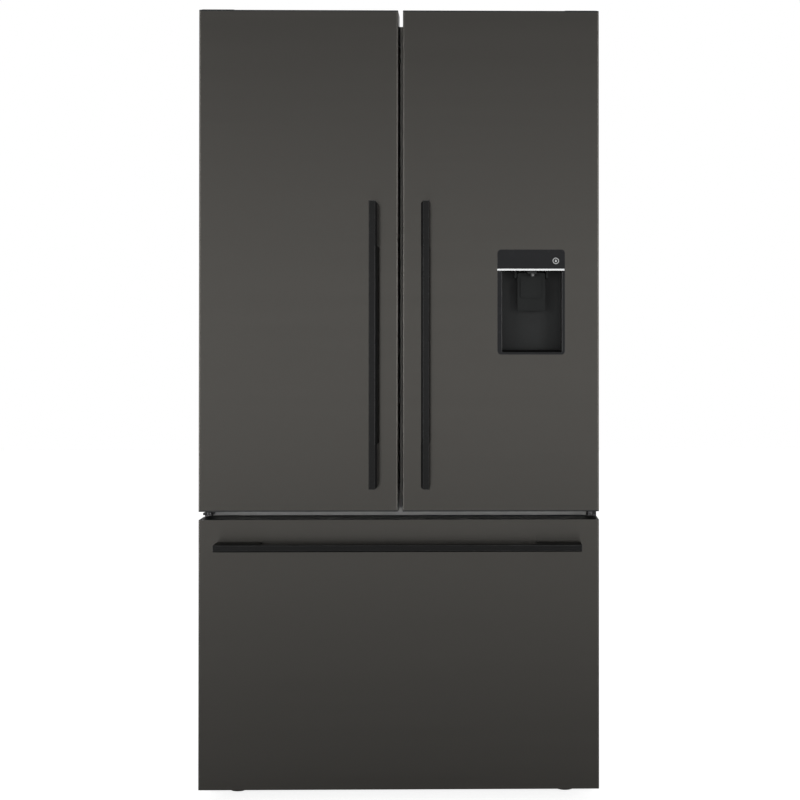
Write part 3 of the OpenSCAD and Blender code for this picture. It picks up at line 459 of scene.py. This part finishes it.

# %% [markdown]
# ### Foam and plastics
# The liners are smooth white plastic, the foam behind them is coarse and yellow, and the
# dispenser is charcoal plastic in three depths of black. A deeper black still is painted shade
# on the handles' sides, in their finger gaps and on the drawer handle's top. Less specular light
# than usual keeps the blacks deep.

# %% Foam and plastics
finishes.update({
    "foam": finish("poured foam", (0.70, 0.58, 0.30), 0.9, 0.0, 0.15,
                   ("pebble", 320.0, 0.6, 0.0012)),
    "white_plastic": finish("white liner plastic", (0.80, 0.81, 0.81), 0.30, 0.0, 0.02,
                            ("pebble", 1100.0, 0.06, 0.0002)),
    "light_lens": finish("milky light lens", (0.92, 0.92, 0.88), 0.22, 0.0, 0.02,
                         ("pebble", 500.0, 0.10, 0.0003)),
    "dark_plastic": finish("charcoal moulded plastic", (0.0112, 0.0122, 0.0120), 0.40, 0.0, 0.12,
                           ("pebble", 1300.0, 0.16, 0.0003), ((0.05, 0.05, 0.053), 0.0010, 0.6),
                           specular=0.28),
    "gloss_black": finish("dispenser face", (0.0108, 0.0111, 0.0120), 0.26, 0.0, 0.06,
                          ("pebble", 1500.0, 0.03, 0.0001), ((0.06, 0.06, 0.06), 0.0008, 0.6),
                          specular=0.15),
    "paddle_plastic": finish("paddle plastic", (0.0072, 0.0082, 0.0079), 0.45, 0.0, 0.12,
                             ("pebble", 1300.0, 0.14, 0.0003), specular=0.2),
    # Deep black: a painted shade on the handles' sides, finger gaps and the drawer handle's top; the drip grille's
    # bars wear it too.
    "deep_black": finish("deep black and painted shade", (0.0035, 0.0035, 0.0035), 0.42, 0.0, 0.15,
                         ("pebble", 1200.0, 0.10, 0.0002), specular=0.12),
})
print("with foam and plastics:", len(finishes))

# %% [markdown]
# ### Small parts and rubber
# What is left is small: the rolled bead and nozzle of the dispenser, the printed mark, rubbers,
# blackened hinges, coil aluminium and the fan. The two clear finishes close the list.

# %% Small parts, rubber and clear parts
finishes.update({
    "bead_steel": finish("rolled bead steel", (0.055, 0.055, 0.055), 0.36, 1.0, 0.08,
                         ("brushed", 1.0, 0.05, 0.0001)),
    "nozzle_grey": finish("nozzle grey", (0.085, 0.085, 0.085), 0.35, 0.0, 0.06,
                          ("pebble", 1200.0, 0.06, 0.0001)),
    "print_white": finish("printed mark", (0.42, 0.43, 0.43), 0.45, 0.0, 0.03,
                          ("pebble", 1500.0, 0.03, 0.0001)),
    "edge_rubber": finish("door edge rubber", (0.34, 0.33, 0.30), 0.55, 0.0, 0.08,
                          ("pebble", 1300.0, 0.12, 0.0003)),
    "hinge_black": finish("blackened hinge steel", (0.045, 0.045, 0.047), 0.34, 1.0, 0.12,
                          ("brushed", 0.8, 0.10, 0.0001), ((0.40, 0.40, 0.40), 0.0008, 0.6)),
    "gasket_rubber": finish("grey door gasket", (0.085, 0.088, 0.090), 0.62, 0.0, 0.12,
                            ("pebble", 1500.0, 0.20, 0.0003)),
    "black_rubber": finish("black rubber", (0.014, 0.014, 0.014), 0.70, 0.0, 0.25,
                           ("pebble", 1000.0, 0.30, 0.0004)),
    "light_strip": finish("pale strip", (0.62, 0.63, 0.63), 0.30, 0.0, 0.02,
                          ("pebble", 1200.0, 0.04, 0.0001)),
    "coil_aluminium": finish("coil aluminium", (0.62, 0.62, 0.60), 0.38, 1.0, 0.14,
                             ("pebble", 600.0, 0.15, 0.0003)),
    "fan_plastic": finish("pale fan plastic", (0.62, 0.63, 0.61), 0.38, 0.0, 0.05,
                          ("pebble", 1000.0, 0.12, 0.0002)),
    "clear_plastic": clear("clear bin plastic", (0.90, 0.93, 0.95), 0.10, 0.82),
    "shelf_glass": clear("shelf glass", (0.72, 0.86, 0.82), 0.03, 0.86),
})
print("finishes:", len(finishes))

# %% [markdown]
# Each solid takes its finish by the name of its material slot in the record, so a new solid
# with a known slot needs no new line here.

# %% Dress the solids
slot_of = {s["node"]: s["material_slot"] for s in frame["record"]["subparts"]}
for name, solid in nodes.items():
    solid.data.materials.clear()
    solid.data.materials.append(finishes[slot_of[name]])
print("dressed", len(nodes), "solids in", len(set(slot_of.values())), "finishes")

# %% [markdown]
# A few solids carry more than one finish. The sides of the handles, the finger gaps behind them
# and the top of the drawer handle are painted deep black as painted shade, and the ears of the
# dispenser's housing take the paddle's darker plastic as painted shade. The drawer's slide arms
# are bare steel on a plastic inner panel, the water nozzle is a dull grey tip under the pale
# strip, and the foam at the doors' backs hides behind a dark rim. The faces are picked by where
# they are and which way they face, and only their material changes.

# %% Painting faces
MM = 0.001


def paint_faces(node, slot, rule):
    """Gives the faces of a solid that meet rule(middle, normal) another finish."""
    mesh = nodes[node].data
    mesh.materials.append(finishes[slot])
    picked = [f for f in mesh.polygons if rule(f.center, f.normal)]
    for face in picked:
        face.material_index = len(mesh.materials) - 1
    print(node, "has", len(picked), "faces in", slot)


# %% Painted shade on the handles
HANDLE_GAP = (815 * MM, 1255 * MM)
BEHIND_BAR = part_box("left_handle")[0].y + 5 * MM
# The black on the handles' sides and in their finger gaps is painted shade.
for side in ("left_handle", "right_handle"):
    paint_faces(side, "deep_black", lambda middle, normal: abs(normal.x) > 0.5 or (
        HANDLE_GAP[0] < middle.z < HANDLE_GAP[1]
        and normal.y < -0.5 and middle.y > BEHIND_BAR))
# The black on the drawer handle's top is painted shade.
paint_faces("drawer_handle", "deep_black", lambda middle, normal: normal.z > 0.9)

# %% Second finishes of the dispenser and the doors
NOZZLE_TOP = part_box("dispenser_light")[1].z - 5 * MM
ARMS_START = -215 * MM
ARM_INSIDE = 446.5 * MM
EARS_FROM, EARS_MIDDLE = 1180 * MM, 298.5 * MM
EARS_REACH = (31 * MM, 44 * MM)
CORE_BACK = (-252 * MM, -248 * MM)

paint_faces("dispenser_light", "nozzle_grey", lambda middle, normal: middle.z < NOZZLE_TOP)
paint_faces("drawer_liner", "white_plastic", lambda middle, normal: (
    middle.y < ARMS_START and abs(middle.x) < ARM_INSIDE))
# The ears of the paddle housing take the paddle's darker plastic as a painted shade.
paint_faces("dispenser_housing", "paddle_plastic", lambda middle, normal: (
    middle.z > EARS_FROM and EARS_REACH[0] < abs(middle.x - EARS_MIDDLE) < EARS_REACH[1]))
for node in ("left_door_core", "right_door_core", "drawer_core"):
    paint_faces(node, "dark_plastic", lambda middle, normal: (
        normal.y > 0.5 and CORE_BACK[0] < middle.y < CORE_BACK[1]))
for node, slot in (("dispenser_paddle", "paddle_plastic"), ("door_hinges", "hinge_black")):
    nodes[node].data.materials[0] = finishes[slot]
    print(node, "is all", slot)

# %% [markdown]
# ## Geometry trees
# Screws, pressed ribs, gasket folds and grille bars all repeat, so each is drawn once as a
# Geometry Nodes tree with its sizes as named inputs, and run on a handful of points. The result
# is turned into one plain mesh for each body, because a moving body needs its own piece. A
# modifier knows its inputs by identifier, not by name, so they are looked up first.

# %% Tree helpers
def new_maker(name, sizes):
    """An empty geometry tree: a Geometry input, float inputs {label: default}, Turn and Finish."""
    tree = bpy.data.node_groups.new(name, "GeometryNodeTree")
    face = tree.interface
    face.new_socket("Geometry", in_out="INPUT", socket_type="NodeSocketGeometry")
    for label, value in sizes.items():
        face.new_socket(label, in_out="INPUT", socket_type="NodeSocketFloat").default_value = value
    face.new_socket("Turn", in_out="INPUT", socket_type="NodeSocketVector")
    face.new_socket("Finish", in_out="INPUT", socket_type="NodeSocketMaterial")
    face.new_socket("Geometry", in_out="OUTPUT", socket_type="NodeSocketGeometry")
    return tree, tree.nodes.new("NodeGroupInput"), tree.nodes.new("NodeGroupOutput")


def end_maker(tree, g_in, g_out, shape, on_points=True):
    """Sets shape on every point, turned by Turn, makes it real and gives it its Finish."""
    add, link = tree.nodes.new, tree.links.new
    if on_points:
        spread = add("GeometryNodeInstanceOnPoints")
        turn = add("FunctionNodeEulerToRotation")
        link(g_in.outputs["Turn"], turn.inputs[0])
        link(g_in.outputs["Geometry"], spread.inputs["Points"])
        link(shape, spread.inputs["Instance"])
        link(turn.outputs[0], spread.inputs["Rotation"])
        shape = spread.outputs[0]
    real, dress = add("GeometryNodeRealizeInstances"), add("GeometryNodeSetMaterial")
    link(shape, real.inputs[0])
    link(real.outputs[0], dress.inputs["Geometry"])
    link(g_in.outputs["Finish"], dress.inputs["Material"])
    link(dress.outputs[0], g_out.inputs[0])


def vector(tree, x, y, z):
    """A vector whose parts are sockets or plain numbers."""
    node = tree.nodes.new("ShaderNodeCombineXYZ")
    for slot, value in zip(node.inputs, (x, y, z)):
        if isinstance(value, (int, float)):
            slot.default_value = value
        else:
            tree.links.new(value, slot)
    return node.outputs[0]


# %% Running a tree
def make(name, body, slot, tree, points, edges=(), finish_slot=None, turn=(0, 0, 0), **sizes):
    """Runs a tree on points and edges and keeps the result as one plain piece on body."""
    seed = bpy.data.meshes.new(name + "_points")
    seed.from_pydata([tuple(p) for p in points], list(edges), [])
    holder = bpy.data.objects.new(name + "_holder", seed)
    bpy.context.collection.objects.link(holder)
    modifier = holder.modifiers.new("maker", "NODES")
    modifier.node_group = tree
    key = {i.name: i.identifier for i in tree.interface.items_tree if i.in_out == "INPUT"}
    for label, value in sizes.items():
        modifier[key[label]] = float(value)
    modifier[key["Turn"]] = [math.radians(t) for t in turn]
    modifier[key["Finish"]] = finishes[finish_slot or slot]
    bpy.context.view_layer.update()
    shown = holder.evaluated_get(bpy.context.evaluated_depsgraph_get())
    mesh = bpy.data.meshes.new_from_object(shown)
    bpy.data.objects.remove(holder)
    piece = bpy.data.objects.new(name, mesh)
    bpy.context.collection.objects.link(piece)
    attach(piece, body)
    print(name, len(mesh.polygons), "faces on", body)
    return piece


# %% [markdown]
# ### Screws
# The back panel, the machine-bay cover and the hinge covers are held by pan-head screws with a
# cross recess. The head is a low cylinder whose top fan is lifted into a dome, and two crossed
# bars are cut out of it.

# %% The screw tree
HEAD_SIDES, HEAD_RINGS = 20, 4
DOME_RISE = 0.45
RECESS_LONG, RECESS_SHORT, RECESS_LIFT = 1.1, 0.26, 0.95

screw, g_in, g_out = new_maker("pan head screw", {"Radius": 0.0042, "Height": 0.002})
add, link = screw.nodes.new, screw.links.new
radius, height = g_in.outputs["Radius"], g_in.outputs["Height"]
head = add("GeometryNodeMeshCylinder")
head.fill_type = "TRIANGLE_FAN"
head.inputs["Vertices"].default_value = HEAD_SIDES
head.inputs["Fill Segments"].default_value = HEAD_RINGS
link(radius, head.inputs["Radius"])
link(height, head.inputs["Depth"])
spot, parts = add("GeometryNodeInputPosition"), add("ShaderNodeSeparateXYZ")
link(spot.outputs[0], parts.inputs[0])
x_squared = math_node(screw, "MULTIPLY", parts.outputs["X"], parts.outputs["X"])
y_squared = math_node(screw, "MULTIPLY", parts.outputs["Y"], parts.outputs["Y"])
from_middle = math_node(screw, "SQRT", math_node(screw, "ADD", x_squared, y_squared))
share = math_node(screw, "DIVIDE", from_middle, radius)
fall = math_node(screw, "SUBTRACT", 1.0, math_node(screw, "MULTIPLY", share, share))
rise = math_node(screw, "MULTIPLY", fall, math_node(screw, "MULTIPLY", height, DOME_RISE))
dome = add("GeometryNodeSetPosition")
link(head.outputs["Mesh"], dome.inputs["Geometry"])
link(math_node(screw, "GREATER_THAN", parts.outputs["Z"], 0.0), dome.inputs["Selection"])
link(vector(screw, 0, 0, rise), dome.inputs["Offset"])
cut = add("GeometryNodeMeshBoolean")
cut.operation = "DIFFERENCE"
cut.solver = "EXACT"
link(dome.outputs[0], cut.inputs["Mesh 1"])
long_side = math_node(screw, "MULTIPLY", radius, RECESS_LONG)
short_side = math_node(screw, "MULTIPLY", radius, RECESS_SHORT)
bar_middle = vector(screw, 0, 0, math_node(screw, "MULTIPLY", height, RECESS_LIFT))
for sides in ((long_side, short_side), (short_side, long_side)):
    bar, lift = add("GeometryNodeMeshCube"), add("GeometryNodeTransform")
    link(vector(screw, *sides, height), bar.inputs["Size"])
    link(bar.outputs["Mesh"], lift.inputs["Geometry"])
    link(bar_middle, lift.inputs["Translation"])
    link(lift.outputs[0], cut.inputs["Mesh 2"])
end_maker(screw, g_in, g_out, cut.outputs["Mesh"])
print("screw tree:", len(screw.nodes), "nodes")

# %% Placing the screws
TO_BACK = (-90, 0, 0)
BACK_PANEL_Y = 370 * MM
SEAT_DEPTH = 3 * MM
panel_points = [(x, BACK_PANEL_Y, z) for x in (-0.436, 0.436)
                for z in (0.36, 0.70, 1.04, 1.38, 1.72)]
panel_points += [(x, BACK_PANEL_Y, 1.755) for x in (-0.29, 0.0, 0.29)]
make("back_panel_screws", "cabinet", "zinc_steel", screw, panel_points, turn=TO_BACK)
cover_points = [(x, BACK_PANEL_Y + SEAT_DEPTH, z) for x in (-0.43, -0.215, 0.0, 0.215, 0.43)
                for z in (0.068, 0.298)]
make("bay_cover_screws", "cabinet", "zinc_steel", screw, cover_points, turn=TO_BACK)
cover_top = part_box("hinge_covers")[1].z
make("hinge_cover_screws", "cabinet", "zinc_steel", screw,
     [(x, -0.190, cover_top - 2.0 * MM) for x in (-0.411, 0.411)], finish_slot="hinge_black")

# %% [markdown]
# ### Pressed ribs
# A large flat sheet rattles and bows, so the back panel has long ribs pressed into it, and the
# moulded walls of both spaces have low ribs across them. One rib is a circle swept along a line,
# thinned almost to nothing at its two ends and flattened, half of it sunk in the wall behind.

# %% The rib tree
RIB_STEPS, RIB_SIDES = 48, 16
END_BLUNTNESS = 30.0
THINNEST = 0.0004

rib, g_in, g_out = new_maker("pressed rib", {"Length": 1.0, "Width": 0.02, "Height": 0.002})
add, link = rib.nodes.new, rib.links.new
half_length = math_node(rib, "MULTIPLY", g_in.outputs["Length"], 0.5)
half_width = math_node(rib, "MULTIPLY", g_in.outputs["Width"], 0.5)
line, fine = add("GeometryNodeCurvePrimitiveLine"), add("GeometryNodeResampleCurve")
link(vector(rib, math_node(rib, "MULTIPLY", half_length, -1.0), 0, 0), line.inputs["Start"])
link(vector(rib, half_length, 0, 0), line.inputs["End"])
fine.inputs["Count"].default_value = RIB_STEPS
link(line.outputs[0], fine.inputs["Curve"])
along = add("GeometryNodeSplineParameter")
end_to_end = math_node(rib, "SUBTRACT", math_node(
    rib, "MULTIPLY", along.outputs["Factor"], 2.0), 1.0)
from_centre = math_node(rib, "POWER", math_node(rib, "ABSOLUTE", end_to_end), END_BLUNTNESS)
taper = math_node(rib, "SQRT", math_node(
    rib, "MAXIMUM", THINNEST, math_node(rib, "SUBTRACT", 1.0, from_centre)))
ring = add("GeometryNodeCurvePrimitiveCircle")
ring.inputs["Resolution"].default_value = RIB_SIDES
ring.inputs["Radius"].default_value = 1.0
sweep, squash = add("GeometryNodeCurveToMesh"), add("GeometryNodeTransform")
sweep.inputs["Fill Caps"].default_value = True
link(fine.outputs[0], sweep.inputs["Curve"])
link(ring.outputs[0], sweep.inputs["Profile Curve"])
link(taper, sweep.inputs["Scale"])
link(sweep.outputs[0], squash.inputs["Geometry"])
link(vector(rib, 1.0, half_width, g_in.outputs["Height"]), squash.inputs["Scale"])
end_maker(rib, g_in, g_out, squash.outputs[0])
print("rib tree:", len(rib.nodes), "nodes")

# %% Placing the ribs
UPRIGHT_ON_BACK = (-90, 90, 0)
LEVEL_ON_SIDE = (90, 0, 90)
FRESH_WALL, FREEZER_WALL = 0.398, 0.388
make("back_panel_ribs", "cabinet", "rear_paint", rib,
     [(x, BACK_PANEL_Y, 1.06) for x in (-0.36, -0.18, 0.0, 0.18, 0.36)],
     turn=UPRIGHT_ON_BACK, Length=1.25, Width=0.030, Height=0.0024)
for name, side, heights in (("left", -1, (1.060, 1.300, 1.640)),
                            ("right", 1, (1.060, 1.250, 1.460, 1.640))):
    make(name + "_wall_ribs", "cabinet", "white_plastic", rib,
         [(side * FRESH_WALL, 0.03, z) for z in heights], turn=LEVEL_ON_SIDE,
         Length=0.40, Width=0.016, Height=0.0018)
    make(name + "_freezer_ribs", "cabinet", "white_plastic", rib,
         [(side * FREEZER_WALL, -0.03, z) for z in (0.16, 0.25, 0.49, 0.56)],
         turn=LEVEL_ON_SIDE, Length=0.34, Width=0.014, Height=0.0016)

# %% [markdown]
# ### Drip grille
# A removable grille of thin bars lies across the floor of the dispenser's recess, over the slots
# that take the drips. The same rib tree makes its bars, turned to run from front to back.

# %% Grille bars
recess = (231.0 * MM, 366.5 * MM)
GRILLE_BARS = 27
END_GAP = 5 * MM
step = (recess[1] - recess[0] - 2 * END_GAP) / (GRILLE_BARS - 1)
grille = [(recess[0] + END_GAP + i * step, -0.290, 1.0200) for i in range(GRILLE_BARS)]
make("drip_grille", "right_door", "gloss_black", rib, grille, turn=(0, 0, 90),
     finish_slot="deep_black", Length=0.048, Width=0.0034, Height=0.0042)

# %% [markdown]
# ### Gasket folds
# Each door seals with a magnetic gasket. Beside the magnet rib runs a thin soft fold, which fills
# the last of the gap when the door shuts. It follows the gasket round, so it is a small circle
# swept along a rounded rectangle.

# %% The fold tree
CORNER_STEPS, FOLD_SIDES = 6, 8

fold, g_in, g_out = new_maker("gasket fold", {"Radius": 0.002, "Corner": 0.010})
add, link = fold.nodes.new, fold.links.new
loop, soften, ring, sweep = (
    add("GeometryNodeMeshToCurve"), add("GeometryNodeFilletCurve"),
    add("GeometryNodeCurvePrimitiveCircle"), add("GeometryNodeCurveToMesh"),
)
soften.mode = "POLY"
soften.inputs["Count"].default_value = CORNER_STEPS
ring.inputs["Resolution"].default_value = FOLD_SIDES
link(g_in.outputs["Geometry"], loop.inputs["Mesh"])
link(loop.outputs[0], soften.inputs["Curve"])
link(g_in.outputs["Corner"], soften.inputs["Radius"])
link(g_in.outputs["Radius"], ring.inputs["Radius"])
link(soften.outputs[0], sweep.inputs["Curve"])
link(ring.outputs[0], sweep.inputs["Profile Curve"])
end_maker(fold, g_in, g_out, sweep.outputs[0], on_points=False)
print("fold tree:", len(fold.nodes), "nodes")

# %% Placing the folds
FOLD_INSET, FOLD_BEHIND = 21.5 * MM, 4.5 * MM
FOUR_SIDES = [(0, 1), (1, 2), (2, 3), (3, 0)]


def upright_corners(left, right, y, bottom, top):
    """The corners of an upright rectangle that faces forward, in order round it."""
    return [(left, y, bottom), (right, y, bottom), (right, y, top), (left, y, top)]


for node, body in (("left_door_gasket", "left_door"), ("right_door_gasket", "right_door"),
                   ("drawer_gasket", "freezer_drawer")):
    low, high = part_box(node)
    corners = upright_corners(low.x + FOLD_INSET, high.x - FOLD_INSET, low.y + FOLD_BEHIND,
                              low.z + FOLD_INSET, high.z - FOLD_INSET)
    make(node + "_fold", body, "gasket_rubber", fold, corners, FOUR_SIDES)

# %% [markdown]
# The mouth of the dispenser's recess has a fine rolled bead, which shows as a thin light line. It
# is the same sweep with a smaller circle.

# %% Bead round the recess
BEAD_Y = -0.3208
BEAD_LOW, BEAD_HIGH = 1018.5 * MM, 1202.5 * MM
BEAD_OUTSIDE = 0.3 * MM
corners = upright_corners(recess[0] - BEAD_OUTSIDE, recess[1] + BEAD_OUTSIDE, BEAD_Y,
                          BEAD_LOW, BEAD_HIGH)
make("recess_bead", "right_door", "gloss_black", fold, corners, FOUR_SIDES,
     finish_slot="bead_steel", Radius=0.0009, Corner=0.004)

# %% [markdown]
# ### Rubber lips and the printed mark
# A rubber lip on the right door's inner edge closes the view through the gap between the doors,
# and another along the drawer's top edge hides its gasket. The dispenser's button carries a
# printed ring with a drop in it. All are flat outlines pulled into solids, so one bmesh helper
# makes them: each end of an outline is a ring of vertices, and the walls join the two ends.

# %% Solids from outlines
def pulled(name, outline, axis, low, high, body, slot, finish_slot, hole=None):
    """A solid from an outline in the plane across axis, pulled from low to high along it."""
    mesh = bpy.data.meshes.new(name)
    shape = bmesh.new()

    def spot(u, v, w):
        return {"x": (w, u, v), "y": (u, w, v), "z": (u, v, w)}[axis]

    rings = [outline] + ([hole] if hole else [])
    walls = []
    for ring in rings:
        ends = [[shape.verts.new(spot(u, v, w)) for u, v in ring] for w in (low, high)]
        walls.append(ends)
        count = len(ring)
        for i in range(count):
            j = (i + 1) % count
            shape.faces.new((ends[0][i], ends[0][j], ends[1][j], ends[1][i]))
    for end in (0, 1):
        if hole:
            count = len(outline)
            for i in range(count):
                j = (i + 1) % count
                shape.faces.new((walls[0][end][i], walls[0][end][j],
                                 walls[1][end][j], walls[1][end][i]))
        else:
            shape.faces.new(walls[0][end])
    bmesh.ops.recalc_face_normals(shape, faces=shape.faces)
    shape.to_mesh(mesh)
    shape.free()
    mesh.materials.append(finishes[finish_slot])
    piece = bpy.data.objects.new(name, mesh)
    bpy.context.collection.objects.link(piece)
    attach(piece, body)
    print(name, len(mesh.polygons), "faces")
    return piece


# %% Rubber lips
lip = [(8.6, -262), (8.6, -254)]
lip += [(0.2 + 1.2 * math.cos(math.radians(a)), -258 + 4 * math.sin(math.radians(a)))
        for a in range(90, 271, 20)]
GAP_LIP_LOW, GAP_LIP_HIGH = 0.684, 1.764
pulled("gap_lip", [(x * MM, y * MM) for x, y in lip], "z", GAP_LIP_LOW, GAP_LIP_HIGH,
       "right_door", "gasket_rubber", "edge_rubber")

skin_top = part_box("drawer_skin")[1].z
TOP_LIP_END = 0.441
top_lip = [(-249.5, -6), (-249.5, -1.5), (-248.6, 1.6), (-247.6, 2.4), (-246.4, 2.4),
           (-245.4, 1.4), (-244.6, -2), (-244.6, -6)]
pulled("drawer_top_lip", [(y * MM, skin_top + z * MM) for y, z in top_lip], "x",
       -TOP_LIP_END, TOP_LIP_END, "freezer_drawer", "gasket_rubber", "black_rubber")

# %% [markdown]
# The mark on the button is printed, so it is a thin layer that stands a tenth of a millimetre
# proud and reaches a little into the button. It is real geometry rather than a pattern, because
# its edge is sharp and it has to stay sharp from close by.

# %% The mark on the button
RING_OUTSIDE, RING_INSIDE = 7.0, 5.7
DROP_TIP, DROP_ROUND, DROP_MIDDLE = 3.4, 2.1, -0.7
PRINT_PROUD, PRINT_SUNK = 0.12 * MM, 0.3 * MM
low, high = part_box("dispenser_button")
middle = ((low.x + high.x) / 2, (low.z + high.z) / 2)


def circle(radius, count=48):
    """A round outline about the middle of the button, its radius in millimetres."""
    return [(middle[0] + radius * MM * math.cos(2 * math.pi * i / count),
             middle[1] + radius * MM * math.sin(2 * math.pi * i / count)) for i in range(count)]


drop = [(0.0, DROP_TIP)]
drop += [(DROP_ROUND * math.cos(math.radians(a)),
          DROP_MIDDLE + DROP_ROUND * math.sin(math.radians(a))) for a in range(150, 391, 15)]
drop = [(middle[0] + u * MM, middle[1] + v * MM) for u, v in drop]
face = (low.y - PRINT_PROUD, low.y + PRINT_SUNK)
pulled("button_ring", circle(RING_OUTSIDE), "y", *face, "dispenser_button", "light_strip",
       "print_white", hole=circle(RING_INSIDE))
pulled("button_drop", drop, "y", *face, "dispenser_button", "light_strip", "print_white")
